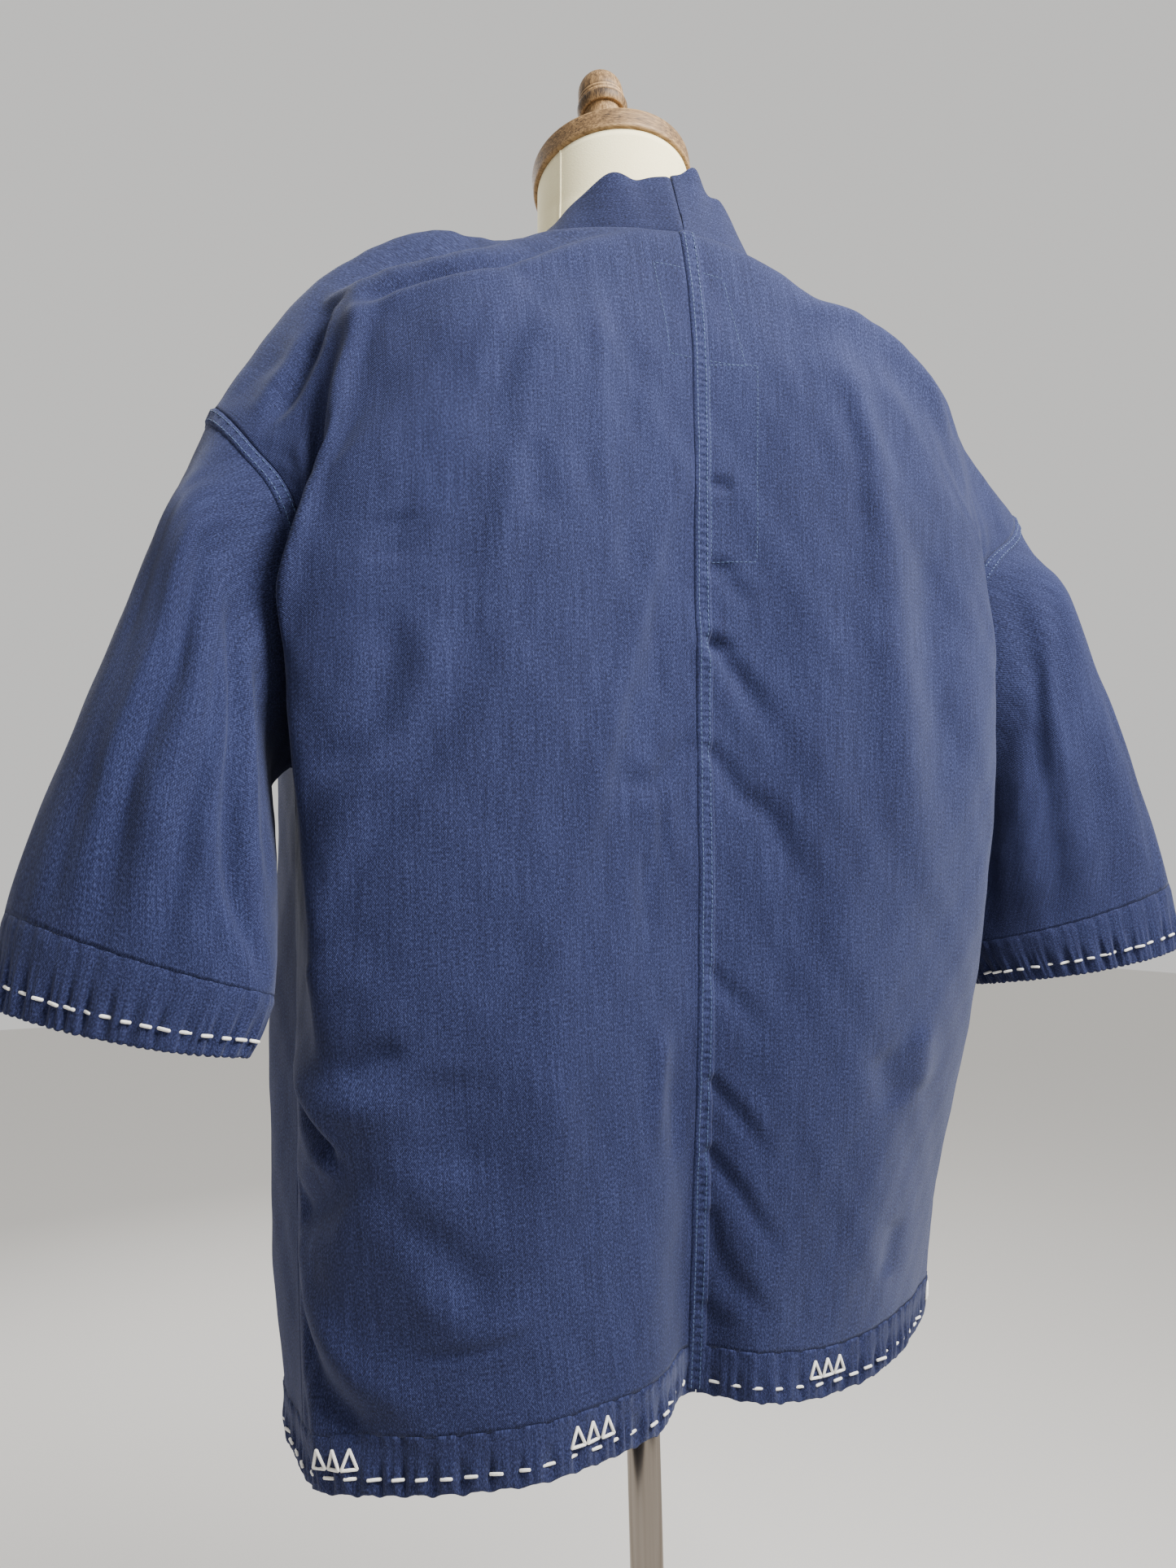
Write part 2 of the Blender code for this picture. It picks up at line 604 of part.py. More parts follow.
def build_hem(side, word, body, finish):
    """Build half of the puckered hem band, from the centre back round to the front edge."""
    count = HEM_PUCKERS * SAMPLES_PER_PUCKER + 1
    top = np.concatenate([body[0], body[-1, -2::-1]])
    place = even_places(top, count)
    rows = []
    along = []
    for depth in (HEM_DEPTH - SEAM_GAP / 2, HEM_DEPTH / 2, 0.0):
        back = panel_skin(depth, BODY_ACROSS, side)[0]
        front = panel_skin(PANEL_LENGTH - depth, BODY_ACROSS, side)[0]
        rows.append(between(np.concatenate([back, front[-2::-1]]), place))
        back = -panel_along(depth, BODY_ACROSS, side)[0]
        front = panel_along(PANEL_LENGTH - depth, BODY_ACROSS, side)[0]
        along.append(between(np.concatenate([back, front[-2::-1]]), place))
    skin = np.array(rows)
    normals = outward(skin, np.array(along), -side)
    normals[:, 0, 0] = 0.0
    normals = unit(normals)
    skin = skin + normals * (BAND_PROUD + pucker_wave(count, len(rows)))[..., None]
    skin[:, 0, 0] = side * SEAM_GAP / 2
    skin[:, -1] += unit(skin[:, -2] - skin[:, -1]) * SEAM_GAP
    add_wall("hem_" + word, skin, skin - normals * BAND_CLOTH, finish)


def cap_frame():
    """Give the neck cap's axis and the centre of its underside."""
    axis = np.array((0.0, -math.sin(CAP_TILT), math.cos(CAP_TILT)))
    return axis, np.array((0.0, 0.0, CAP_CENTRE)) - axis * CAP_THICKNESS


def build_torso(finish):
    """Build the limbless form with its neck, cut off square below and tilted at the cap."""
    rings = []
    for height, width, front, back in TORSO_SECTIONS:
        ring = []
        for k in range(TORSO_SIDES):
            angle = 2 * math.pi * k / TORSO_SIDES
            middle = (front + back) / 2
            ring.append((width * math.cos(angle), middle + (back - front) / 2 * math.sin(angle), height))
        rings.append(ring)
    axis, underside = cap_frame()
    across = np.array((0.0, math.cos(CAP_TILT), math.sin(CAP_TILT)))
    top = []
    for k in range(TORSO_SIDES):
        angle = 2 * math.pi * k / TORSO_SIDES
        sideways = np.array((NECK_RADIUS * math.cos(angle), 0.0, 0.0))
        top.append(underside - axis * FIT_GAP + sideways + across * NECK_RADIUS * math.sin(angle))
    rings.append(top)
    mesh = bpy.data.meshes.new("form_torso")
    bm = bmesh.new()
    verts = [[bm.verts.new(p) for p in ring] for ring in rings]
    for lower, upper in zip(verts, verts[1:]):
        for k in range(TORSO_SIDES):
            n = (k + 1) % TORSO_SIDES
            bm.faces.new((lower[k], lower[n], upper[n], upper[k]))
    bm.faces.new(verts[0][::-1])
    bm.faces.new(verts[-1])
    bmesh.ops.triangulate(bm, faces=bm.faces)
    bm.to_mesh(mesh)
    bm.free()
    mesh.shade_smooth()
    return add_object("form_torso", mesh, finish)


def build_stand(wood, metal):
    """Build the neck cap with its finial, the pole and the round base."""
    _, underside = cap_frame()
    rim = CAP_THICKNESS
    add_turned("neck_cap", CAP_PROFILE, wood, TURNED_STEPS, underside, CAP_TILT)
    foot = [(radius, rim + height) for radius, height in FINIAL_PROFILE]
    add_turned("neck_finial", foot, wood, TURNED_STEPS, underside, CAP_TILT)
    top = TORSO_SECTIONS[0][0] - FIT_GAP
    bottom = POLE_BOTTOM + FIT_GAP
    pole = [(0.0, top), (POLE_RADIUS, top), (POLE_RADIUS, bottom), (0.0, bottom)]
    add_turned("stand_pole", pole, metal, TURNED_STEPS)
    add_turned("stand_base", BASE_PROFILE, metal, BASE_STEPS)


for old in list(bpy.data.objects):
    bpy.data.objects.remove(old, do_unlink=True)
collection = bpy.data.collections.new("kimono_jacket")
bpy.context.scene.collection.children.link(collection)

build_cloth(1, "left", INDIGO)
build_cloth(-1, "right", INDIGO)
build_torso(JERSEY)
build_stand(WOOD, METAL)
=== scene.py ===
# %% [markdown]
# # A kimono jacket of indigo twill on a dress form
# The jacket is cut from straight loom widths of slub twill cotton: two body panels that run from
# the back hem over the shoulders to the front hem, two sleeves, and bands for the cuffs, the hem
# and the collar. It hangs on a limbless form with a wooden neck cap, on a metal pole. The packed
# CAD model is the fixed frame, and each cloth piece here is laid over its solid.

# %% Load the frame
import math

import bmesh
import bpy
import numpy as np
from mathutils import Matrix, Vector


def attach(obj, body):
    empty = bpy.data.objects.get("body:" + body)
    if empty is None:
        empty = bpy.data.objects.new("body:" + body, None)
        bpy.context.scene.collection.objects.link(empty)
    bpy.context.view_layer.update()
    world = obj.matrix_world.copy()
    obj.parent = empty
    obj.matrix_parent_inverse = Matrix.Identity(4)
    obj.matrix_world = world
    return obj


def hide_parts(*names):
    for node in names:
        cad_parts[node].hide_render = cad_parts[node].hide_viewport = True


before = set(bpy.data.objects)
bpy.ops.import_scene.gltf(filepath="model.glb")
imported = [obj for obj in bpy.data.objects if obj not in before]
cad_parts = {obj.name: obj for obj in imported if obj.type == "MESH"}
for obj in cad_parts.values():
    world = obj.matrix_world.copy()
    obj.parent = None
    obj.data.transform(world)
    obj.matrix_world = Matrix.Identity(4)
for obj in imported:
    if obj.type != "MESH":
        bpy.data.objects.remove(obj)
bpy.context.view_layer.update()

# %% [markdown]
# ## The camera
# The photograph looks at the jacket's back from the wearer's left, from the height of the chest
# and a little upwards, and very close: the sleeves spread towards the edges of the picture. A
# camera turned by its azimuth and pitch, with a slight roll, gives that view.

# %% Place the camera
CAMERA_PLACE = (0.32061, 0.75770, 1.000)
CAMERA_AZIMUTH = math.radians(159.0)
CAMERA_PITCH = math.radians(5.0)
CAMERA_ROLL = math.radians(-1.33)
CAMERA_LENS = 26.15
CAMERA_SENSOR = 36.0

camera_data = bpy.data.cameras.new("camera")
camera_data.lens = CAMERA_LENS
camera_data.sensor_width = CAMERA_SENSOR
camera_data.clip_start = 0.02
camera = bpy.data.objects.new("camera", camera_data)
turn = Matrix.Rotation(CAMERA_AZIMUTH, 4, "Z") @ Matrix.Rotation(math.pi / 2 + CAMERA_PITCH, 4, "X")
camera.matrix_world = Matrix.Translation(CAMERA_PLACE) @ turn @ Matrix.Rotation(CAMERA_ROLL, 4, "Z")
bpy.context.scene.collection.objects.link(camera)
bpy.context.scene.camera = camera
print("camera at", CAMERA_PLACE)

# %% [markdown]
# ## Floor and light
# A plain pale floor carries the stand. Most of the light comes from a pale surround, which gives the
# soft edges of daylight indoors. A lamp high behind the wearer's right shoulder draws the folds and
# fades towards the hem. A broader one stands in front, on the side that the photograph doesn't show.

# %% Lay the floor
FLOOR_SIZE = 9.0
PALE = (0.74, 0.72, 0.69, 1.0)


def plain_material(name, colour, roughness, metallic=0.0):
    """Make a Principled material with its steady values on the shader's own sockets."""
    material = bpy.data.materials.new(name)
    material.use_nodes = True
    shader = material.node_tree.nodes["Principled BSDF"]
    shader.inputs["Base Color"].default_value = colour
    shader.inputs["Roughness"].default_value = roughness
    shader.inputs["Metallic"].default_value = metallic
    return material


floor_mesh = bpy.data.meshes.new("floor")
bm = bmesh.new()
bmesh.ops.create_grid(bm, x_segments=2, y_segments=2, size=FLOOR_SIZE)
bm.to_mesh(floor_mesh)
bm.free()
floor_mesh.materials.append(plain_material("floor", PALE, 0.9))
floor = bpy.data.objects.new("floor", floor_mesh)
bpy.context.scene.collection.objects.link(floor)
print("floor", FLOOR_SIZE * 2, "m across")

# %% [markdown]
# Lamps can be suns, spots or areas. Area lamps are used here, because their shadows have soft edges,
# and each is turned towards the jacket's middle. The smaller the lamp, the crisper the folds.

# %% Hang the lamps
SURROUND = (0.80, 0.79, 0.77, 1.0)
SURROUND_STRENGTH = 0.94
# Name, place, size in metres, power in watts
LAMPS = (
    ("key", (-0.50, 0.94, 2.04), 0.6, 70.0),
    ("front", (0.60, -2.30, 2.20), 1.8, 46.0),
)
LAMP_TARGET = Vector((0.0, 0.05, 1.15))

world = bpy.data.worlds.new("surround")
world.use_nodes = True
world.node_tree.nodes["Background"].inputs["Color"].default_value = SURROUND
world.node_tree.nodes["Background"].inputs["Strength"].default_value = SURROUND_STRENGTH
bpy.context.scene.world = world
for name, place, size, power in LAMPS:
    data = bpy.data.lights.new(name, "AREA")
    data.shape = "SQUARE"
    data.size = size
    data.energy = power
    lamp = bpy.data.objects.new(name, data)
    lamp.matrix_world = Matrix.Translation(place) @ (
        (LAMP_TARGET - Vector(place)).to_track_quat("-Z", "Y").to_matrix().to_4x4()
    )
    bpy.context.scene.collection.objects.link(lamp)
print("lamps:", [lamp[0] for lamp in LAMPS])

# %% [markdown]
# ## The shape that the cloth hangs in
# Each panel is described by sections across it, at steps along its length from the back hem over
# the shoulder to the front hem. A smooth curve through the sections gives any point of the panel.
# These are the same sections that the solids have, so that the cloth lies on its solid.

# %% Run smooth curves through points
def smooth(knots, values, at, flat_start=False):
    """Run a monotone cubic through the values at the knots, one for each trailing number."""
    knots = np.asarray(knots, float)
    values = np.asarray(values, float)
    at = np.clip(np.atleast_1d(np.asarray(at, float)), knots[0], knots[-1])
    column = (-1,) + (1,) * (values.ndim - 1)
    step = np.diff(knots).reshape(column)
    slope = np.diff(values, axis=0) / step
    tangent = np.zeros_like(values)
    tangent[0] = slope[0]
    tangent[-1] = slope[-1]
    before, after = slope[:-1], slope[1:]
    same_way = before * after > 0
    weight_before = 2 * step[1:] + step[:-1]
    weight_after = step[1:] + 2 * step[:-1]
    safe_before = np.where(same_way, before, 1.0)
    safe_after = np.where(same_way, after, 1.0)
    mean = (weight_before + weight_after) / (weight_before / safe_before + weight_after / safe_after)
    tangent[1:-1] = np.where(same_way, mean, 0.0)
    if flat_start:
        tangent[0, ..., 1:] = 0.0
    piece = np.clip(np.searchsorted(knots, at, side="right") - 1, 0, len(knots) - 2)
    length = (knots[piece + 1] - knots[piece]).reshape(column)
    t = ((at - knots[piece]) / (knots[piece + 1] - knots[piece])).reshape(column)
    return (
        values[piece] * (2 * t**3 - 3 * t**2 + 1)
        + tangent[piece] * length * (t**3 - 2 * t**2 + t)
        + values[piece + 1] * (3 * t**2 - 2 * t**3)
        + tangent[piece + 1] * length * (t**3 - t**2)
    )


def unit(vectors):
    """Scale vectors to length one."""
    return vectors / np.maximum(np.linalg.norm(vectors, axis=-1, keepdims=True), 1e-12)


def hump(places, centre, reach):
    """Give a smooth rise to 1 at the centre."""
    return np.exp(-(((places - centre) / reach) ** 2))


# %% [markdown]
# ## Body panels in the air
# The real panel is a straight strip of cloth. It could be laid flat and simulated, but then it would
# not hang where its solid does. So its hanging shape is stated: a run is the distance along the strip
# from the back hem, and a section has four points across it. The fifth is on the side seam or armhole.

# %% Measure the panels
PANEL_LENGTH = 1.648
PANEL_WIDTH = 0.345
HEM_DEPTH = 0.028
SEAM_GAP = 0.0005
UNDERARM_RUN = 0.425
CREST_RUN = 0.800
NECK_RUN = 0.735
REACH = 0.004
ACROSS = (0.0, 0.33, 0.70, 0.84, 1.0)
# Sections of the left body panel: run, then the points edge, mid, ridge and dip
SECTIONS = (
    (0.000, (0.000, 0.120, 0.683), (0.105, 0.124, 0.681), (0.212, 0.070, 0.676), (0.232, 0.045, 0.673)),
    (0.038, (0.000, 0.120, 0.721), (0.105, 0.125, 0.719), (0.214, 0.072, 0.714), (0.235, 0.046, 0.711)),
    (0.117, (0.000, 0.120, 0.800), (0.107, 0.130, 0.797), (0.221, 0.078, 0.790), (0.239, 0.046, 0.787)),
    (0.227, (0.000, 0.122, 0.910), (0.110, 0.138, 0.906), (0.236, 0.092, 0.900), (0.241, 0.050, 0.896)),
    (0.347, (0.000, 0.125, 1.030), (0.112, 0.144, 1.026), (0.243, 0.103, 1.016), (0.241, 0.058, 1.008)),
    (0.425, (0.000, 0.128, 1.110), (0.113, 0.147, 1.105), (0.251, 0.108, 1.100), (0.241, 0.073, 1.088)),
    (0.490, (0.000, 0.131, 1.175), (0.112, 0.149, 1.170), (0.253, 0.113, 1.155), (0.237, 0.102, 1.150)),
    (0.580, (0.000, 0.136, 1.265), (0.110, 0.150, 1.260), (0.238, 0.121, 1.222), (0.234, 0.113, 1.212)),
    (0.650, (0.000, 0.138, 1.325), (0.108, 0.149, 1.322), (0.219, 0.122, 1.275), (0.238, 0.111, 1.246)),
    (0.705, (0.000, 0.133, 1.385), (0.115, 0.130, 1.372), (0.212, 0.116, 1.325), (0.237, 0.105, 1.278)),
    (0.735, (0.000, 0.124, 1.420), (0.125, 0.114, 1.390), (0.213, 0.108, 1.346), (0.239, 0.100, 1.298)),
    (0.750, (0.045, 0.104, 1.425), (0.134, 0.095, 1.398), (0.213, 0.096, 1.359), (0.242, 0.094, 1.311)),
    (0.775, (0.080, 0.075, 1.429), (0.137, 0.066, 1.406), (0.222, 0.072, 1.364), (0.250, 0.082, 1.317)),
    (0.800, (0.088, 0.045, 1.437), (0.137, 0.033, 1.446), (0.222, 0.042, 1.394), (0.258, 0.057, 1.340)),
    (0.845, (0.084, 0.002, 1.428), (0.137, -0.008, 1.436), (0.216, 0.003, 1.384), (0.252, 0.020, 1.330)),
    (0.920, (0.074, -0.052, 1.388), (0.135, -0.056, 1.380), (0.210, -0.040, 1.330), (0.243, -0.018, 1.278)),
    (1.030, (0.066, -0.108, 1.295), (0.135, -0.114, 1.288), (0.217, -0.084, 1.252), (0.243, -0.045, 1.205)),
    (1.130, (0.063, -0.127, 1.195), (0.133, -0.135, 1.188), (0.222, -0.098, 1.160), (0.247, -0.048, 1.125)),
    (1.223, (0.061, -0.130, 1.110), (0.132, -0.138, 1.105), (0.226, -0.100, 1.098), (0.240, -0.038, 1.082)),
    (1.301, (0.060, -0.131, 1.030), (0.130, -0.138, 1.026), (0.228, -0.098, 1.016), (0.243, -0.030, 1.008)),
    (1.421, (0.060, -0.130, 0.910), (0.130, -0.137, 0.906), (0.229, -0.095, 0.900), (0.249, -0.028, 0.896)),
    (1.531, (0.060, -0.127, 0.800), (0.128, -0.134, 0.797), (0.224, -0.092, 0.790), (0.249, -0.028, 0.787)),
    (1.610, (0.060, -0.122, 0.721), (0.126, -0.129, 0.719), (0.216, -0.088, 0.714), (0.243, -0.026, 0.711)),
    (1.648, (0.060, -0.120, 0.683), (0.125, -0.127, 0.681), (0.213, -0.087, 0.676), (0.241, -0.025, 0.673)),
)
# Side seam below the arm: run from the hem, point
SIDE_SEAM = (
    (0.000, (0.236, 0.028, 0.671)),
    (0.038, (0.238, 0.028, 0.709)),
    (0.117, (0.239, 0.028, 0.785)),
    (0.227, (0.238, 0.028, 0.894)),
    (0.347, (0.237, 0.030, 1.004)),
    (0.425, (0.239, 0.040, 1.078)),
)
# Armhole from the underarm up the back, over the shoulder and down the front: run, point
ARMHOLE = (
    (0.425, (0.239, 0.040, 1.078)),
    (0.458, (0.236, 0.060, 1.108)),
    (0.500, (0.235, 0.078, 1.150)),
    (0.560, (0.238, 0.094, 1.196)),
    (0.630, (0.250, 0.103, 1.230)),
    (0.720, (0.270, 0.098, 1.256)),
    (0.800, (0.289, 0.070, 1.285)),
    (0.880, (0.282, 0.030, 1.262)),
    (0.960, (0.264, -0.002, 1.222)),
    (1.060, (0.246, -0.010, 1.168)),
    (1.150, (0.240, 0.008, 1.112)),
    (1.223, (0.239, 0.040, 1.078)),
)
print("panel", PANEL_LENGTH, "m long,", len(SECTIONS), "sections")

# %% [markdown]
# The two halves are cut alike but hang differently. The lower body is dragged round the form, the
# hem sinks into a groove at the centre back, and the right side is drawn in at the ribs. Each of
# these is one smooth change to the points, the same on both panels where they meet.

# %% Find any point of a panel
DRAG = 0.19
DRAG_TOP = 1.15
DRAG_BOTTOM = 0.68
DRAG_LIMIT = 1.1
DRAG_CURVE = 1.2
GROOVE_DEPTH = 0.037
GROOVE_CENTRE = 0.006
GROOVE_WIDTH = 0.026
GROOVE_RUN = 0.340
GROOVE_CURVE = 1.5
RIGHT_TUCK = 0.014
RIGHT_TUCK_RUN = 0.520
RIGHT_TUCK_REACH = 0.130
RIGHT_DROP = 0.008
RIGHT_DROP_REACH = 0.150
HEM_SAG = 0.006
HEM_SAG_RUN = 0.300
HEM_SAG_CENTRE = 0.080
HEM_SAG_REACH = 0.050


def drag(points, side):
    """Shear the lower body so that its left swings back and its right swings forward."""
    moved = points.copy()
    share = np.clip((DRAG_TOP - points[..., 2]) / (DRAG_TOP - DRAG_BOTTOM), 0.0, DRAG_LIMIT)
    moved[..., 1] += DRAG * share**DRAG_CURVE * points[..., 0] * side
    return moved


def groove(points, runs, side):
    """Sink the centre back towards the hem, as a shallow vertical fold."""
    moved = points.copy()
    fade = np.clip(1.0 - runs / GROOVE_RUN, 0.0, 1.0) ** GROOVE_CURVE
    offset = (points[..., 0] * side - GROOVE_CENTRE) / GROOVE_WIDTH
    moved[..., 1] -= GROOVE_DEPTH * fade[:, None] * np.exp(-offset**2)
    return moved


def side_edge(runs, side):
    """Give the panel's outer edge: side seam, armhole, then side seam again."""
    mirrored = np.where(runs > PANEL_LENGTH / 2, PANEL_LENGTH - runs, runs)
    seam = smooth([r for r, _ in SIDE_SEAM], [p for _, p in SIDE_SEAM], mirrored)
    hole = smooth([r for r, _ in ARMHOLE], [p for _, p in ARMHOLE], runs)
    if side < 0:
        hole = hole + hump(runs, CREST_RUN, RIGHT_DROP_REACH)[:, None] * (RIGHT_DROP, 0.0, -RIGHT_DROP)
    return np.where((mirrored < UNDERARM_RUN)[:, None], seam, hole)


def panel_skin(runs, across, side):
    """Place points on a body panel: side 1 is the wearer's left, -1 the right."""
    runs = np.atleast_1d(np.asarray(runs, float))
    columns = smooth([row[0] for row in SECTIONS], np.array([row[1:] for row in SECTIONS]), runs)
    columns = np.concatenate([columns, side_edge(runs, side)[:, None]], axis=1)
    if side < 0:
        from_hem = np.minimum(runs, PANEL_LENGTH - runs)
        columns[:, 2:, 0] -= RIGHT_TUCK * hump(from_hem, RIGHT_TUCK_RUN, RIGHT_TUCK_REACH)[:, None]
    skin = smooth(ACROSS, columns.transpose(1, 0, 2), across, flat_start=True).transpose(1, 0, 2)
    skin = groove(drag(skin, side), runs, side)
    if side < 0:
        fade = np.clip(1.0 - runs / HEM_SAG_RUN, 0.0, 1.0)[:, None]
        skin[..., 2] -= HEM_SAG * fade * hump(skin[..., 0], HEM_SAG_CENTRE, HEM_SAG_REACH)
    skin[..., 0] *= side
    return skin


def outward(skin, along, side, ring=False):
    """Give the outward normals of a grid of points from the directions along its columns."""
    if ring:
        across = np.roll(skin, -1, axis=1) - np.roll(skin, 1, axis=1)
    else:
        across = np.gradient(skin, axis=1)
    return unit(np.cross(along, across)) * side


def panel_normals(runs, across, side, skin):
    """Give the outward normals of a body panel."""
    runs = np.atleast_1d(np.asarray(runs, float))
    along = panel_skin(runs + REACH, across, side) - panel_skin(runs - REACH, across, side)
    return outward(skin, along, side)


print("centre back of the collar seam", panel_skin(NECK_RUN, [0.0], 1)[0, 0].round(3))

# %% [markdown]
# ## The folds
# Creases can be sculpted, simulated or placed by hand. They are placed one by one here, because the
# photograph shows where each one lies: a fold is a line on the flat cloth with a height, a half
# width and tapering ends. Below zero it is a valley. Folds on the unseen front are of the same kind.

# %% List the folds of the body
# Height and half width in millimetres, then points: share across the panel, which is negative on
# the wearer's right, and run from the back hem in metres
BODY_FOLDS = (
    (-5.5, 9, (
        (0.120, 0.748), (0.206, 0.746), (0.406, 0.730),
        (0.524, 0.734), (0.647, 0.740), (0.718, 0.746),
    )),
    (-5.0, 9, ((0.700, 0.752), (0.724, 0.774), (0.788, 0.764), (0.876, 0.748), (0.953, 0.732))),
    (3.6, 10, (
        (0.660, 0.748), (0.682, 0.704), (0.712, 0.678),
        (0.688, 0.624), (0.659, 0.532), (0.700, 0.462),
    )),
    (-5.5, 10, ((0.790, 0.715), (0.800, 0.650), (0.770, 0.590), (0.760, 0.530), (0.790, 0.470))),
    (6.0, 17, ((-0.180, 0.712), (-0.271, 0.722), (-0.400, 0.726), (-0.541, 0.714), (-0.688, 0.690))),
    (2.4, 9, (
        (-0.01, 0.590), (0.012, 0.572), (0.082, 0.520),
        (0.124, 0.472), (0.171, 0.422), (0.253, 0.324),
    )),
    (1.6, 14, ((0.253, 0.330), (0.290, 0.270), (0.300, 0.200), (0.270, 0.130))),
    (-2.2, 9, ((0.276, 0.686), (0.353, 0.652), (0.376, 0.624), (0.388, 0.582))),
    (1.8, 7, ((0.347, 0.590), (0.371, 0.520), (0.388, 0.470))),
    (-2.4, 8, ((0.388, 0.480), (0.412, 0.442), (0.459, 0.394), (0.518, 0.358), (0.600, 0.310))),
    (1.6, 10, ((0.440, 0.480), (0.465, 0.430), (0.520, 0.390), (0.600, 0.350))),
    (-2.4, 9, ((0.488, 0.545), (0.488, 0.510))),
    (-3.4, 8, ((0.488, 0.485), (0.488, 0.452), (0.500, 0.422), (0.541, 0.396), (0.620, 0.380))),
    (-1.8, 7, ((0.176, 0.386), (0.129, 0.382), (0.071, 0.398), (0.035, 0.412))),
    (-1.2, 7, ((0.082, 0.475), (0.082, 0.425))),
    (-1.4, 10, ((0.312, 0.580), (0.312, 0.530))),
    (-1.2, 4, ((0.088, 0.375), (0.082, 0.325))),
    (1.0, 7, ((0.188, 0.724), (0.200, 0.612), (0.182, 0.524), (0.176, 0.488))),
    (-1.0, 8, ((0.129, 0.670), (0.124, 0.575))),
    (-1.4, 8, ((0.112, 0.340), (0.112, 0.285))),
    (-5.5, 6, ((0.800, 0.222), (0.740, 0.203), (0.660, 0.183))),
    (-4.5, 12, ((0.900, 0.165), (0.800, 0.160), (0.735, 0.166), (0.612, 0.186))),
    (3.2, 12, ((0.820, 0.250), (0.765, 0.236), (0.653, 0.218), (0.520, 0.218))),
    (-2.4, 8, ((0.640, 0.226), (0.541, 0.246))),
    (2.0, 16, ((0.635, 0.300), (0.600, 0.270))),
    (-3.4, 18, ((0.420, 0.225), (0.435, 0.160))),
    (-1.6, 11, ((0.570, 0.155), (0.488, 0.134), (0.430, 0.105))),
    (1.6, 12, ((0.560, 0.120), (0.480, 0.095), (0.380, 0.090))),
    (-0.9, 3.5, ((0.590, 0.072), (0.441, 0.076), (0.380, 0.084))),
    (-3.6, 12, ((0.930, 0.105), (0.818, 0.078), (0.735, 0.052), (0.640, 0.034))),
    (2.2, 12, ((0.760, 0.105), (0.670, 0.070), (0.560, 0.050))),
    (1.8, 6, ((0.085, 0.230), (0.112, 0.165))),
    (-1.8, 7, ((0.045, 0.205), (0.050, 0.145))),
    (-1.4, 4, ((-0.012, 0.568), (-0.064, 0.565))),
    (-1.6, 4, ((-0.012, 0.516), (-0.064, 0.513))),
    (-1.8, 5, ((-0.012, 0.468), (-0.064, 0.464))),
    (3.0, 14, ((-0.300, 0.700), (-0.347, 0.654), (-0.394, 0.564), (-0.418, 0.426), (-0.482, 0.320))),
    (-1.8, 8, ((-0.300, 0.660), (-0.324, 0.632), (-0.341, 0.580), (-0.345, 0.530))),
    (-2.8, 14, ((-0.512, 0.570), (-0.500, 0.464), (-0.518, 0.380))),
    (-2.0, 13, ((-0.400, 0.215), (-0.445, 0.175))),
    (1.8, 9, ((-0.482, 0.225), (-0.490, 0.180))),
    (-1.8, 12, ((-0.480, 0.095), (-0.465, 0.055))),
    (1.2, 18, ((-0.250, 0.560), (-0.260, 0.400), (-0.330, 0.250))),
    (-3.0, 14, ((0.220, 0.930), (0.340, 1.010), (0.420, 1.120), (0.430, 1.230))),
    (2.4, 13, ((0.330, 0.920), (0.450, 1.020), (0.540, 1.130), (0.560, 1.260))),
    (-3.2, 12, ((0.700, 1.060), (0.650, 1.180), (0.560, 1.290), (0.480, 1.360))),
    (-2.6, 10, ((0.760, 1.180), (0.690, 1.290), (0.600, 1.400))),
    (2.2, 14, ((0.150, 1.150), (0.180, 1.300), (0.240, 1.460))),
    (-2.4, 11, ((0.280, 1.380), (0.330, 1.480), (0.340, 1.580))),
    (-2.8, 13, ((-0.240, 0.920), (-0.330, 1.020), (-0.380, 1.140), (-0.360, 1.260))),
    (2.2, 12, ((-0.400, 0.950), (-0.500, 1.060), (-0.560, 1.180), (-0.540, 1.300))),
    (-3.6, 11, ((-0.720, 1.080), (-0.660, 1.200), (-0.540, 1.320), (-0.420, 1.400))),
    (-2.4, 9, ((-0.780, 1.220), (-0.700, 1.320), (-0.620, 1.440))),
    (2.6, 13, ((-0.130, 1.180), (-0.170, 1.330), (-0.160, 1.500))),
    (-2.2, 12, ((-0.300, 1.400), (-0.280, 1.500), (-0.330, 1.590))),
)
# Creases that spring from the centre back seam: height and half width in millimetres, then points
SEAM_FOLDS = (
    (-1.3, 5, ((-0.029, 0.510), (-0.065, 0.504), (-0.088, 0.496), (-0.118, 0.488))),
    (-2.8, 6, ((-0.024, 0.468), (-0.053, 0.456), (-0.088, 0.442), (-0.124, 0.422), (-0.153, 0.400))),
    (-2.4, 7, (
        (-0.024, 0.400), (-0.053, 0.390), (-0.082, 0.374),
        (-0.129, 0.364), (-0.188, 0.328), (-0.282, 0.298),
    )),
    (-1.8, 6, ((-0.024, 0.264), (-0.041, 0.256), (-0.071, 0.246), (-0.100, 0.232), (-0.124, 0.212))),
    (-2.4, 5, ((-0.024, 0.196), (-0.047, 0.186), (-0.082, 0.172), (-0.124, 0.152), (-0.165, 0.138))),
    (-2.8, 5, (
        (-0.024, 0.152), (-0.047, 0.140), (-0.071, 0.130),
        (-0.106, 0.110), (-0.141, 0.094), (-0.159, 0.074),
    )),
    (-2.0, 5, ((-0.029, 0.112), (-0.041, 0.092), (-0.059, 0.078), (-0.094, 0.064), (-0.176, 0.044))),
    (-1.8, 5, ((-0.024, 0.056), (-0.053, 0.038))),
)
print(len(BODY_FOLDS) + len(SEAM_FOLDS), "folds on the body")

# %% [markdown]
# Across its line a fold is a smooth hump with a shallow lip on each side. A dark line in the
# photograph isn't the bottom of a valley but the wall of it that is turned away from the lamp. So the
# lines on the back are first moved from that wall to the fold's middle.

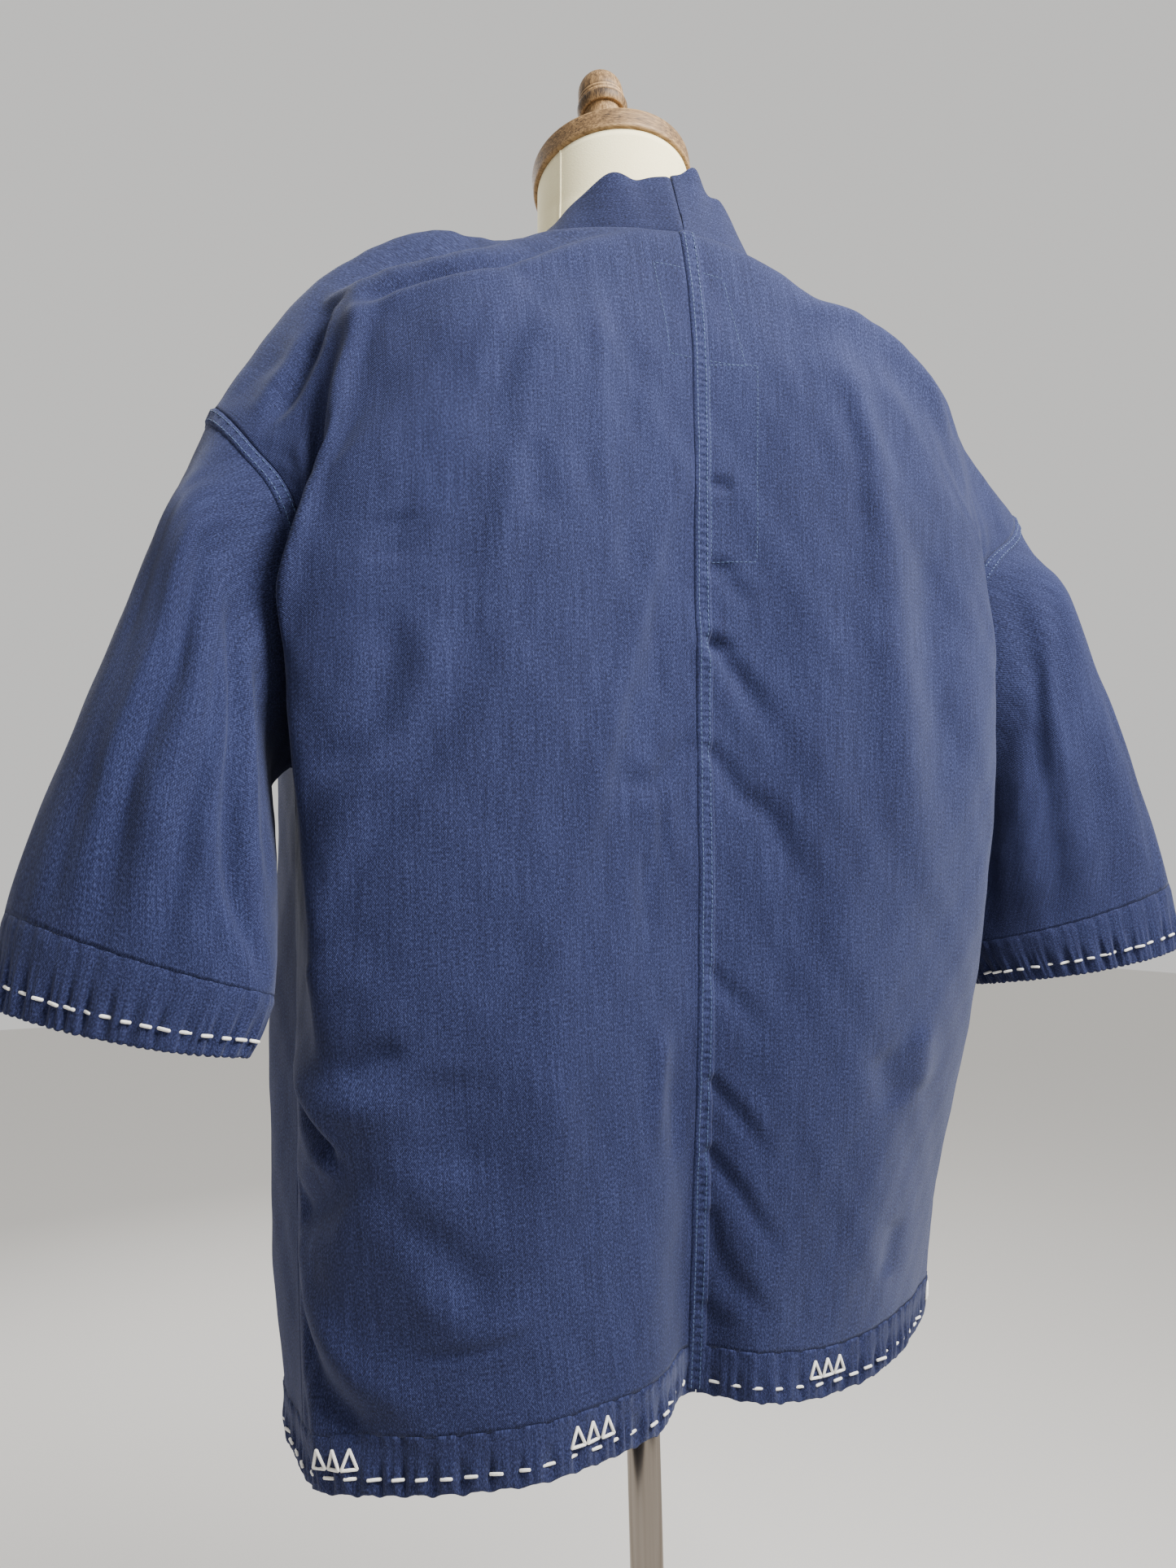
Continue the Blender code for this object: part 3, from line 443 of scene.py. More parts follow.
# %% Work out the height of the folds
# A line on the back is the wall of its fold on the lamp's side: in shade for a valley, lit for a
# ridge. The fold's middle lies further from the lamp, by this share of its half width
FOLD_SHIFT = 0.9
# The lamp's direction on the flat back
LAMP_ON_BACK = (-0.52, 0.85)
EDGE_FADE = 0.014
FOLD_STRENGTH = 1.5
# Points along a fold's line, and how many half widths from it the cloth still moves
FOLD_STEPS = 17
FOLD_REACH = 4
# Share of its length over which a fold tapers at both ends, and how far up the taper they start
FOLD_TAPER = 0.35
FOLD_END = 0.25
# A crease from the seam tapers at its far end only, and widens on the way
SEAM_TAPER = 0.55
SEAM_START_WIDTH = 0.7
SEAM_SPREAD = 0.8
# Beside a fold the cloth moves the other way: share of the height, and half widths from the line
LIP = 0.22
LIP_PLACE = 2.1


def nearest_on_line(places, line):
    """Give each place's distance to a line of points and how far along the line that is."""
    start, step = line[:-1], np.diff(line, axis=0)
    length = np.linalg.norm(step, axis=1)
    reach = np.concatenate([[0.0], np.cumsum(length)])
    offset = places[:, None, :] - start[None]
    share = np.clip((offset * step).sum(-1) / (length**2), 0.0, 1.0)
    gap = np.linalg.norm(offset - share[..., None] * step, axis=-1)
    best = gap.argmin(axis=1)
    row = np.arange(len(places))
    return gap[row, best], (reach[best] + share[row, best] * length[best]) / reach[-1]


def behind(points, width):
    """Move a line on the back from its fold's wall on the lamp's side to the fold's middle."""
    if points[:, 1].max() > CREST_RUN:
        return points
    step = unit(np.gradient(points, axis=0))
    square = np.stack([-step[:, 1], step[:, 0]], axis=1)
    away = -np.sign((square @ np.array(LAMP_ON_BACK)).mean())
    return points + square * away * FOLD_SHIFT * width


def fold_heights(places, folds, scale, on_back=False, from_seam=False):
    """Add up the folds at places on the flat cloth, in metres."""
    height = np.zeros(len(places))
    for rise, width, points in folds:
        points = np.array(points, float) * scale
        if on_back:
            points = behind(points, width / 1000.0)
        reach = np.concatenate([[0.0], np.cumsum(np.linalg.norm(np.diff(points, axis=0), axis=1))])
        line = smooth(reach, points, np.linspace(0.0, reach[-1], FOLD_STEPS))
        width = width / 1000.0
        low, high = line.min(axis=0) - FOLD_REACH * width, line.max(axis=0) + FOLD_REACH * width
        near = np.all((places > low) & (places < high), axis=1)
        gap, share = nearest_on_line(places[near], line)
        ends = np.clip(np.minimum(share, 1.0 - share) / FOLD_TAPER + FOLD_END, 0.0, 1.0)
        if from_seam:
            ends = np.clip((1.0 - share) / SEAM_TAPER, 0.0, 1.0)
            width = width * (SEAM_START_WIDTH + SEAM_SPREAD * share)
        ends = ends * ends * (3.0 - 2.0 * ends)
        shape = hump(gap, 0.0, width) - LIP * hump(gap, LIP_PLACE * width, width)
        height[near] += rise / 1000.0 * ends * shape
    return height


# Slow ripples of woven cloth: height in millimetres, waves a metre across and along, phase
RIPPLES = (
    (0.34, 11.0, 5.0, 0.3), (0.30, 7.0, -9.0, 1.7), (0.24, 19.0, 8.0, 4.1),
    (0.20, -23.0, 13.0, 2.2), (0.14, 31.0, -21.0, 5.0), (0.10, 43.0, 27.0, 0.9),
)


def ripple_heights(places):
    """Give the small uneven ripples that keep cloth from looking like sheet metal."""
    height = np.zeros(len(places))
    for rise, across, along, phase in RIPPLES:
        turns = places[:, 0] * across + places[:, 1] * along
        height += rise / 1000.0 * np.sin(2 * math.pi * turns + phase)
    return height


print("folds lie", FOLD_SHIFT, "of their half width behind their lines;", len(RIPPLES), "ripples")

# %% [markdown]
# A draped panel is its smooth surface, moved along its own normals by the height of the folds and
# ripples. They fade out at its outer edge and round the neck, where seams hold the cloth.

# %% Drape the panels
def draped_panel(runs, across, side):
    """Give points and normals of a body panel with its folds."""
    runs = np.atleast_1d(np.asarray(runs, float))
    across = np.asarray(across, float)
    skin = panel_skin(runs, across, side)
    normals = panel_normals(runs, across, side, skin)
    grid_run, grid_across = np.meshgrid(runs, across, indexing="ij")
    places = np.stack([grid_across.ravel() * side * PANEL_WIDTH, grid_run.ravel()], axis=1)
    scale = (PANEL_WIDTH, 1.0)
    height = FOLD_STRENGTH * fold_heights(places, BODY_FOLDS, scale, on_back=True)
    height = height + fold_heights(places, SEAM_FOLDS, scale, on_back=True, from_seam=True)
    height = (height + ripple_heights(places)).reshape(grid_run.shape)
    fade = np.clip((1.0 - grid_across) * PANEL_WIDTH / EDGE_FADE, 0.0, 1.0)
    neck = np.clip(grid_across * PANEL_WIDTH / EDGE_FADE, 0.0, 1.0)
    below_neck = (NECK_RUN - grid_run) / EDGE_FADE
    neck = np.where(grid_run < NECK_RUN - EDGE_FADE, 1.0, np.maximum(neck, below_neck))
    return skin + normals * (height * fade * np.clip(neck, 0.0, 1.0))[..., None], normals


check_points, _ = draped_panel([0.3, 0.6], [0.2, 0.5], 1)
print("draped points reach y", check_points[..., 1].max().round(3))

# %% [markdown]
# ## From a flat cut to a hanging piece
# Each piece starts as a flat grid, as the cloth was cut. Its UV map keeps the flat cut in metres,
# so that the weave follows the cloth wherever it bends, and then the grid's points move to their
# places on the hanging shape. A panel gets its thickness from Solidify. A band is cloth folded
# double, so its grid runs down the outside, round the folded edge and back up the inside.

# %% Cut a piece and hang it
root = "root"
CUT = "cut"
SIDES = ((1, "left"), (-1, "right"))
# Points of a piece that lie nearer than this are one point
SAME_PLACE = 0.00001


def cut_and_hang(name, points, cut, normals, material, close_rows=False, close_columns=False):
    """Make a grid as the flat cut, hang it at the points, and close it where it meets itself."""
    rows, columns = points.shape[:2]
    bm = bmesh.new()
    bmesh.ops.create_grid(bm, x_segments=columns - 1, y_segments=rows - 1, size=0.5)
    bm.verts.index_update()
    layer = bm.loops.layers.uv.new(CUT)
    flat = cut.reshape(-1, 2).tolist()
    for face in bm.faces:
        for loop in face.loops:
            loop[layer].uv = flat[loop.vert.index]
    for vert, place in zip(bm.verts, points.reshape(-1, 3).tolist()):
        vert.co = place
    bm.normal_update()
    facing = unit(normals).reshape(-1, 3)
    agree = sum(Vector(facing[face.verts[0].index]).dot(face.normal) for face in bm.faces)
    if agree < 0.0:
        bmesh.ops.reverse_faces(bm, faces=bm.faces)
    if close_rows or close_columns:
        bmesh.ops.remove_doubles(bm, verts=bm.verts, dist=SAME_PLACE)
    if close_rows and not close_columns:
        bmesh.ops.holes_fill(bm, edges=[e for e in bm.edges if e.is_boundary], sides=0)
    mesh = bpy.data.meshes.new(name)
    bm.to_mesh(mesh)
    bm.free()
    mesh.shade_smooth()
    mesh.materials.append(material)
    piece = bpy.data.objects.new(name, mesh)
    bpy.context.scene.collection.objects.link(piece)
    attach(piece, root)
    return piece


print("the flat cut is kept in the UV map", CUT)

# %% Thicken a sheet or fold a band
CLOTH = 0.0013


def thicken(piece, thickness):
    """Give a sheet its thickness towards the inside."""
    solid = piece.modifiers.new("Cloth", "SOLIDIFY")
    solid.thickness = thickness
    solid.offset = -1.0
    solid.use_even_offset = False
    return piece


def folded_section(outer, normals, thickness, cut, rim_steps=5):
    """Take a band's outer face round its folded edge and back, and round its seam edge."""
    middle = thickness / 2
    far = unit(outer[-1] - outer[-2])
    near = unit(outer[0] - outer[1])
    rows = list(outer)
    facing = list(normals)
    flat = list(cut)
    step = np.zeros_like(cut[0])
    turns = np.linspace(0.0, math.pi, rim_steps + 2)[1:-1]
    for angle in turns:
        offset = normals[-1] * math.cos(angle) + far * math.sin(angle)
        rows.append(outer[-1] - normals[-1] * middle + offset * middle)
        facing.append(offset)
        step = step + (0.0, middle * math.pi / (rim_steps + 1))
        flat.append(cut[-1] + step)
    for i in range(len(outer) - 1, -1, -1):
        rows.append(outer[i] - normals[i] * thickness)
        facing.append(-normals[i])
        flat.append(2 * cut[-1] - cut[i] + step)
    for angle in turns:
        offset = -normals[0] * math.cos(angle) + near * math.sin(angle)
        rows.append(outer[0] - normals[0] * middle + offset * middle)
        facing.append(offset)
        flat.append(flat[-1])
    rows.append(outer[0])
    facing.append(normals[0])
    flat.append(flat[-1])
    return np.array(rows), np.array(facing), np.array(flat)


print("cloth", CLOTH * 1000, "mm thick")

# %% Measure along the cloth
def reach_along(points):
    """Measure along rows of points from the first column."""
    steps = np.linalg.norm(np.diff(points, axis=-2), axis=-1)
    return np.concatenate([np.zeros(steps.shape[:-1] + (1,)), np.cumsum(steps, axis=-1)], axis=-1)


def flat_grid(first, along):
    """Pair each row's places across the flat cut with the row's own distance along it."""
    return np.stack([first, np.repeat(along[:, None], first.shape[1], axis=1)], axis=-1)


def read_at(places, reach, points):
    """Read a line of points at places along its reach."""
    return np.stack([np.interp(places, reach, points[:, k]) for k in range(3)], axis=-1)


def triangles_of(piece):
    """Count a piece's triangles with its modifiers."""
    evaluated = piece.evaluated_get(bpy.context.evaluated_depsgraph_get())
    mesh = evaluated.to_mesh()
    mesh.calc_loop_triangles()
    count = len(mesh.loop_triangles)
    evaluated.to_mesh_clear()
    return count


print("a line over three corners of a unit cube is", reach_along(np.eye(3))[-1].round(3), "long")

# %% [markdown]
# ## Patterns for the materials
# Cloth, knitting, thread, wood and metal are all uneven in much the same way. Noise that is
# stretched along the yarn or the grain gives a tone, the tone picks a colour between dark and light,
# and part of it raises the surface a little. Each helper here does one of these steps.

# %% Make patterns, tones and relief
def link(tree, source, target):
    """Join two sockets."""
    tree.links.new(source, target)


def stretched_noise(tree, source, stretch, detail=2.0, roughness=0.5):
    """Add a noise that is scaled differently along each direction."""
    mapping = tree.nodes.new("ShaderNodeMapping")
    mapping.inputs["Scale"].default_value = stretch
    noise = tree.nodes.new("ShaderNodeTexNoise")
    noise.inputs["Scale"].default_value = 1.0
    noise.inputs["Detail"].default_value = detail
    noise.inputs["Roughness"].default_value = roughness
    link(tree, source, mapping.inputs["Vector"])
    link(tree, mapping.outputs["Vector"], noise.inputs["Vector"])
    return noise.outputs["Fac"]


def sum_of(tree, parts):
    """Add up sockets, each with its weight."""
    total = None
    for socket, weight in parts:
        node = tree.nodes.new("ShaderNodeMath")
        node.operation = "MULTIPLY_ADD"
        node.inputs[1].default_value = weight
        link(tree, socket, node.inputs[0])
        if total is not None:
            link(tree, total, node.inputs[2])
        else:
            node.inputs[2].default_value = 0.0
        total = node.outputs[0]
    return total


def object_places(tree):
    """Give the socket of places in the object's own coordinates."""
    return tree.nodes.new("ShaderNodeTexCoord").outputs["Object"]


def colour_by(tree, tone, stops):
    """Colour a material by its tone: each stop is a position and a colour, from dark to light."""
    ramp = tree.nodes.new("ShaderNodeValToRGB")
    elements = ramp.color_ramp.elements
    darkest, *middle, lightest = stops
    for element, (position, colour) in zip(elements, (darkest, lightest)):
        element.position = position
        element.color = colour
    for position, colour in middle:
        elements.new(position).color = colour
    link(tree, tone, ramp.inputs["Fac"])
    link(tree, ramp.outputs["Color"], tree.nodes["Principled BSDF"].inputs["Base Color"])


def raise_by(tree, height, strength, distance):
    """Give a material a fine relief by a height."""
    bump = tree.nodes.new("ShaderNodeBump")
    bump.inputs["Strength"].default_value = strength
    bump.inputs["Distance"].default_value = distance
    link(tree, height, bump.inputs["Height"])
    link(tree, bump.outputs["Normal"], tree.nodes["Principled BSDF"].inputs["Normal"])


print("patterns ready")

# %% [markdown]
# ## Indigo slub twill
# The cloth is a fine twill of indigo cotton with slubs, which are thicker and thinner places in the
# warp yarns. They show as soft lighter and darker stripes along the cut. Stretched noise on the UV
# map makes the stripes and fine flecks, whose light ones are painted highlights on the raised warp
# yarns. A wave texture at a slant makes the twill's ribs, and a slow noise on the object fades the
# dye unevenly.

# %% Dye the cloth
INDIGO_DARK = (0.0036, 0.0048, 0.0195, 1.0)
INDIGO_MIDDLE = (0.0114, 0.0152, 0.0530, 1.0)
INDIGO_LIGHT = (0.0370, 0.0470, 0.1250, 1.0)
# Distance of the dark and the light tone from the middle one
TONE_SPREAD = 0.12
# The collar band is a little less faded than the rest, and a seam's lap is worn a little lighter
COLLAR_TONE = -0.016
LAP_TONE = 0.02
# How finely each pattern repeats across and along the cut
SLUB_STRETCH = (820.0, 26.0, 1.0)
BROAD_STRETCH = (210.0, 4.0, 1.0)
FLECK_HIGHLIGHT_STRETCH = (1250.0, 620.0, 1.0)
# The same for the fading, along the object's own axes
FADE_STRETCH = (8.0, 8.0, 6.0)
TWILL_RIBS = 400.0
TWILL_SLANT = math.radians(32.0)
# Share of each pattern in the tone: slub, broad, fleck with painted highlight, fade, twill
TONE_SHARES = (0.20, 0.05, 0.62, 0.09, 0.04)
# Share of each pattern in the relief: twill, slub, fleck with painted highlight
RELIEF_SHARES = (0.55, 0.35, 0.80)


def indigo_cloth(name, lighter=0.0):
    """Make slub twill, lighter or darker by a shift of its tones."""
    material = plain_material(name, INDIGO_MIDDLE, 0.86)
    tree = material.node_tree
    shader = tree.nodes["Principled BSDF"]
    shader.inputs["Sheen Weight"].default_value = 0.11
    shader.inputs["Sheen Roughness"].default_value = 0.45
    shader.inputs["Sheen Tint"].default_value = (0.70, 0.75, 1.0, 1.0)
    shader.inputs["Specular IOR Level"].default_value = 0.20
    flat = tree.nodes.new("ShaderNodeUVMap")
    flat.uv_map = CUT
    place = object_places(tree)
    slub = stretched_noise(tree, flat.outputs["UV"], SLUB_STRETCH, 3.0, 0.68)
    broad = stretched_noise(tree, flat.outputs["UV"], BROAD_STRETCH, 2.0)
    # Fine flecks, lighter and darker: the light ones are painted highlights on the raised warp yarns
    fleck_highlight = stretched_noise(tree, flat.outputs["UV"], FLECK_HIGHLIGHT_STRETCH, 2.0, 0.75)
    fade = stretched_noise(tree, place, FADE_STRETCH, 3.0)
    slant = tree.nodes.new("ShaderNodeMapping")
    slant.inputs["Rotation"].default_value = (0.0, 0.0, TWILL_SLANT)
    link(tree, flat.outputs["UV"], slant.inputs["Vector"])
    wave = tree.nodes.new("ShaderNodeTexWave")
    wave.inputs["Scale"].default_value = TWILL_RIBS
    wave.inputs["Distortion"].default_value = 1.6
    wave.inputs["Detail"].default_value = 1.0
    wave.inputs["Detail Scale"].default_value = 1.4
    link(tree, slant.outputs["Vector"], wave.inputs["Vector"])
    twill = wave.outputs["Fac"]
    tone = sum_of(tree, zip((slub, broad, fleck_highlight, fade, twill), TONE_SHARES))
    middle = 0.5 - lighter
    dark, light = middle - TONE_SPREAD, middle + TONE_SPREAD
    colour_by(tree, tone, ((dark, INDIGO_DARK), (middle, INDIGO_MIDDLE), (light, INDIGO_LIGHT)))
    raise_by(tree, sum_of(tree, zip((twill, slub, fleck_highlight), RELIEF_SHARES)), 0.55, 0.00045)
    return material


indigo = {}
for part in ("body", "sleeve", "cuff", "hem", "collar"):
    for _, word in SIDES:
        node = part + "_" + word
        indigo[node] = indigo_cloth("indigo_" + node, COLLAR_TONE if part == "collar" else 0.0)
lap_cloth = indigo_cloth("indigo_lap", LAP_TONE)
print(len(indigo) + 1, "indigo materials")

# %% [markdown]
# ## Body panels
# A panel is one loom width that runs from the back hem over the shoulder to the front hem, with no
# shoulder seam. It is laid on its solid's sections with its folds, and is fine enough for them: a
# point every three millimetres on the back, whose folds are the sharpest, and every six in front.

# %% Hang the body panels
BODY_COLUMNS = 111
BACK_ROWS = 251
FRONT_ROWS = 131


def flat_cut(points, runs):
    """Lay a panel flat: metres from the centre back, or from the outer edge above the neck."""
    reach = reach_along(points)
    below = runs < NECK_RUN
    width = np.interp(NECK_RUN, runs[below], reach[below, -1])
    start = np.where(below, 0.0, width - reach[:, -1])
    return flat_grid(start[:, None] + reach, runs)


for side, word in SIDES:
    back_runs = np.linspace(HEM_DEPTH + SEAM_GAP / 2, CREST_RUN, BACK_ROWS)
    front_runs = np.linspace(CREST_RUN, PANEL_LENGTH - HEM_DEPTH - SEAM_GAP / 2, FRONT_ROWS)
    runs = np.concatenate([back_runs, front_runs[1:]])
    across = np.linspace(0.0, 1.0, BODY_COLUMNS)
    points, normals = draped_panel(runs, across, side)
    cut = flat_cut(panel_skin(runs, across, side), runs)
    piece = cut_and_hang("panel_" + word, points, cut, normals, indigo["body_" + word])
    thicken(piece, CLOTH)
    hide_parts("body_" + word)
    print(piece.name, triangles_of(piece), "triangles")

# %% [markdown]
# ## Sleeves
# A sleeve is a straight tube of cloth that tapers to its cuff. Its first ring is the armhole's
# edge, and the rings after it pass through the sleeve's sections, so that the two pieces meet in
# one seam. Long folds run down the back of it.

# %% List the sleeve's sections and folds
CUFF_SEAM = 0.285
CUFF_EDGE = 0.333
SLEEVE_SQUARENESS = 0.85
RIGHT_SLEEVE_TURN = -0.070
RIGHT_SLEEVE_LIFT = 0.005
RIGHT_SLEEVE_SLACK = 0.006
RIGHT_SLEEVE_CURVE = 1.6
# Shares of the turn and the lift that the back and the front of the right sleeve follow
RIGHT_BACK_SHARE = (0.0, 0.3, 1.0)
RIGHT_FRONT_SHARE = (0.0, 0.6, 0.5)
# Metres from the armhole, then the points top, back, under and front of the left sleeve
SLEEVE_SECTIONS = (
    (0.065, (0.312, 0.070, 1.222), (0.288, 0.120, 1.165), (0.255, 0.058, 1.058), (0.286, 0.000, 1.140)),
    (0.140, (0.335, 0.075, 1.156), (0.303, 0.134, 1.100), (0.254, 0.082, 1.015), (0.300, 0.016, 1.068)),
    (0.215, (0.362, 0.083, 1.083), (0.320, 0.141, 1.033), (0.255, 0.100, 0.980), (0.318, 0.038, 1.008)),
    (0.285, (0.392, 0.090, 0.991), (0.331, 0.143, 0.968), (0.259, 0.118, 0.943), (0.329, 0.064, 0.957)),
    (0.333, (0.398, 0.094, 0.946), (0.339, 0.142, 0.929), (0.272, 0.122, 0.914), (0.338, 0.068, 0.921)),
)
# Height and half width in millimetres, then points: angle round the sleeve from its top, positive
# at the back, and metres from the armhole
SLEEVE_FOLDS = {
    1: (
        (-4.5, 8, ((1.25, 0.020), (1.40, 0.060), (1.45, 0.114), (1.35, 0.190), (1.40, 0.290))),
        (-3.6, 7, ((1.50, 0.040), (1.70, 0.072), (1.76, 0.130), (1.76, 0.200), (1.74, 0.290))),
        (-6.0, 8, (
            (1.40, 0.016), (1.70, 0.044), (1.98, 0.095), (2.06, 0.160), (2.28, 0.225), (2.64, 0.268),
        )),
        (3.2, 8, ((1.75, 0.040), (2.20, 0.100), (2.32, 0.150), (2.55, 0.215))),
        (2.4, 9, ((1.55, 0.070), (1.58, 0.150), (1.52, 0.240))),
        (2.0, 9, ((1.15, 0.040), (1.18, 0.120), (1.10, 0.220))),
        (-1.4, 9, ((0.70, 0.030), (0.74, 0.110), (0.80, 0.200))),
        (-1.2, 8, ((0.98, 0.200), (0.96, 0.290))),
        (-4.0, 9, ((-1.30, 0.025), (-1.55, 0.090), (-1.60, 0.180), (-1.55, 0.280))),
        (3.0, 9, ((-1.80, 0.040), (-1.95, 0.120), (-2.00, 0.230))),
        (-4.6, 9, ((-2.20, 0.030), (-2.35, 0.110), (-2.30, 0.210), (-2.35, 0.290))),
        (-2.2, 10, ((-0.70, 0.060), (-0.80, 0.150), (-0.75, 0.270))),
    ),
    -1: (
        (-5.2, 9, ((2.05, 0.060), (2.13, 0.110), (2.13, 0.180), (2.08, 0.290))),
        (-3.4, 8, ((2.75, 0.070), (2.84, 0.110), (2.88, 0.200), (2.80, 0.290))),
        (-2.8, 7, ((1.10, 0.016), (1.50, 0.038), (1.85, 0.060), (2.02, 0.090))),
        (2.2, 8, ((1.19, 0.028), (1.60, 0.056), (1.85, 0.100), (1.85, 0.170))),
        (2.6, 8, ((2.42, 0.070), (2.48, 0.150), (2.45, 0.260))),
        (-1.8, 8, ((1.55, 0.130), (1.60, 0.210), (1.62, 0.290))),
        (-1.6, 9, ((1.05, 0.120), (1.02, 0.200), (1.10, 0.285))),
        (-3.8, 9, ((-1.20, 0.030), (-1.45, 0.100), (-1.45, 0.190), (-1.50, 0.285))),
        (2.8, 9, ((-1.75, 0.040), (-1.88, 0.130), (-1.90, 0.240))),
        (-4.4, 9, ((-2.25, 0.035), (-2.30, 0.120), (-2.40, 0.220), (-2.30, 0.290))),
        (-2.0, 10, ((-0.60, 0.050), (-0.75, 0.140), (-0.70, 0.260))),
    ),
}
SLEEVE_RADIUS = 0.080
SLEEVE_STRENGTH = {1: 1.0, -1: 0.55}
SLEEVE_RIPPLE = 0.7
ARMHOLE_STEPS = 72
SLEEVE_ROWS = 89


def armhole_ring(side):
    """Give the armhole's edge from the underarm up the back and down the front, and its angles."""
    behind = np.linspace(UNDERARM_RUN, CREST_RUN, ARMHOLE_STEPS + 1)
    before = np.linspace(CREST_RUN, PANEL_LENGTH - UNDERARM_RUN, ARMHOLE_STEPS + 1)[1:-1]
    ring = panel_skin(np.concatenate([behind, before]), [1.0], side)[:, 0]
    lengths = np.linalg.norm(np.roll(ring, -1, axis=0) - ring, axis=1)
    reach = np.concatenate([[0.0], np.cumsum(lengths)])
    top = ARMHOLE_STEPS
    rising = math.pi * (1.0 - reach[: top + 1] / reach[top])
    falling = -math.pi * (reach[top + 1 : -1] - reach[top]) / (reach[-1] - reach[top])
    return ring, np.concatenate([rising, falling])


def sleeve_skin(ring, angles, side, metres):
    """Loft a sleeve from the armhole ring through its sections, one row for each distance."""
    cosine, sine = np.cos(angles)[:, None], np.sin(angles)[:, None]
    bent_cosine = np.sign(cosine) * np.abs(cosine) ** SLEEVE_SQUARENESS
    bent_sine = np.sign(sine) * np.abs(sine) ** SLEEVE_SQUARENESS
    knots = [0.0]
    rows = [ring * (side, 1.0, 1.0)]
    for distance, *points in SLEEVE_SECTIONS:
        upper, back, under, front = np.array(points)
        if side < 0:
            share = min(distance / CUFF_SEAM, 1.0)
            turned = np.array((0.0, RIGHT_SLEEVE_TURN, RIGHT_SLEEVE_LIFT)) * share**RIGHT_SLEEVE_CURVE
            upper = upper - np.array((RIGHT_SLEEVE_SLACK * (1.0 - share), 0.0, 0.0))
            under = under + turned
            back = back + turned * RIGHT_BACK_SHARE
            front = front + turned * RIGHT_FRONT_SHARE
        middle = (upper + under) / 2 * cosine**2 + (back + front) / 2 * sine**2
        rows.append(middle + (upper - under) / 2 * bent_cosine + (back - front) / 2 * bent_sine)
        knots.append(distance)
    skin = smooth(knots, np.array(rows), metres)
    skin[..., 0] *= side
    return skin


def closed(points):
    """Repeat the first column at the end, where a tube closes."""
    return np.concatenate([points, points[:, :1]], axis=1)


def draped_sleeve(metres, side):
    """Give points and normals of a sleeve with its folds, with its closing column."""
    metres = np.asarray(metres, float)
    ring, angles = armhole_ring(side)
    skin = sleeve_skin(ring, angles, side, metres)
    after, before = (sleeve_skin(ring, angles, side, metres + step) for step in (REACH, -REACH))
    normals = outward(skin, after - before, -side, ring=True)
    grid_metres, grid_angle = np.meshgrid(metres, angles, indexing="ij")
    places = np.stack([grid_angle.ravel() * SLEEVE_RADIUS, grid_metres.ravel()], axis=1)
    height = SLEEVE_STRENGTH[side] * fold_heights(places, SLEEVE_FOLDS[side], (SLEEVE_RADIUS, 1.0))
    height = (height + SLEEVE_RIPPLE * ripple_heights(places)).reshape(grid_metres.shape)
    height *= np.clip(grid_metres / EDGE_FADE, 0.0, 1.0)
    return closed(skin + normals * height[..., None]), closed(normals)


print("sleeve", CUFF_EDGE, "m from armhole to cuff edge")

# %% [markdown]
# The tube's grid is closed where its last column meets its first. Its flat cut narrows towards the
# cuff, and its UV map runs down the sleeve, so that the slubs do too, as on the real one.

# %% Hang the sleeves
for side, word in SIDES:
    metres = np.linspace(SEAM_GAP / 2, CUFF_SEAM - SEAM_GAP / 2, SLEEVE_ROWS)
    points, normals = draped_sleeve(metres, side)
    reach = reach_along(points)
    share = metres[:, None] / CUFF_SEAM
    straight = reach[0] * (1.0 - share) + reach[-1] * share
    cut = flat_grid(straight - straight[:, -1:] / 2, metres)
    piece = cut_and_hang("tube_" + word, points, cut, normals, indigo["sleeve_" + word], close_columns=True)
    thicken(piece, CLOTH)
    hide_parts("sleeve_" + word)
    print(piece.name, "round at armhole and cuff", reach[[0, -1], -1].round(3), triangles_of(piece))

# %% [markdown]
# ## Cuffs, hem and collar
# These bands are cloth folded double. The thick running stitch near the folded edge draws the
# band together, so it puckers: small soft waves that run across the band, deepest at the stitch and
# uneven in width. The waves are added to the band's own grid.

# %% Pucker a band
BAND_CLOTH = 0.0026
BAND_PROUD = 0.0006
# Slow drifts of the waves along a band: strength, turns round the band, phase
WAVE_DRIFTS = ((0.9, 2, 1.0), (0.7, 5, 2.3), (0.5, 9, 5.0))
# Puckers at the band's seam: strength and reach, as shares; then the reach of those at the stitch
SEAM_PUCKER = 0.45
SEAM_PUCKER_REACH = 0.16
STITCH_PUCKER_REACH = 0.30
# How much the waves' strength varies, and how much sharper their hollows are than their crests
WAVE_VARIETY = 0.28
WAVE_SHARPNESS = 0.35


def uneven_waves(reach, pitch, seed):
    """Give uneven waves along a band, sharp below, that close on themselves after its length."""
    length = reach.max()
    turns = max(3, round(length / pitch))
    angle = 2 * math.pi * reach / length
    drift = sum(much * np.sin(rounds * angle + phase * seed) for much, rounds, phase in WAVE_DRIFTS)
    uneven = np.sin(3 * angle + 1.7 * seed) * np.sin(7 * angle + seed)
    wave = np.cos(turns * angle + drift)
    wave = wave - WAVE_SHARPNESS * np.cos(2 * (turns * angle + drift))
    return wave * (1.0 - WAVE_VARIETY + WAVE_VARIETY * uneven)


def pucker_depth(share, stitch_share):
    """Give how strong the puckers are from the band's seam, 0, to its folded edge, 1."""
    seam = SEAM_PUCKER * hump(share, 0.0, SEAM_PUCKER_REACH)
    return seam + hump(share, stitch_share, STITCH_PUCKER_REACH)


print("bands", BAND_CLOTH * 1000, "mm thick")

# %% [markdown]
# A cuff is a band round the end of the sleeve. It could be an extruded ring, but then it would not
# follow the sleeve's folds, so it starts from the sleeve's own surface below the cuff seam. Puckers
# push it in and out, and finer waves between them keep them from looking cast.

# %% Hang the cuffs
CUFF_ROWS = 22
CUFF_PITCH = 0.0125
CUFF_PUCKER = 0.0019
CUFF_COLUMNS = 360
CUFF_STITCH_SHARE = 0.74
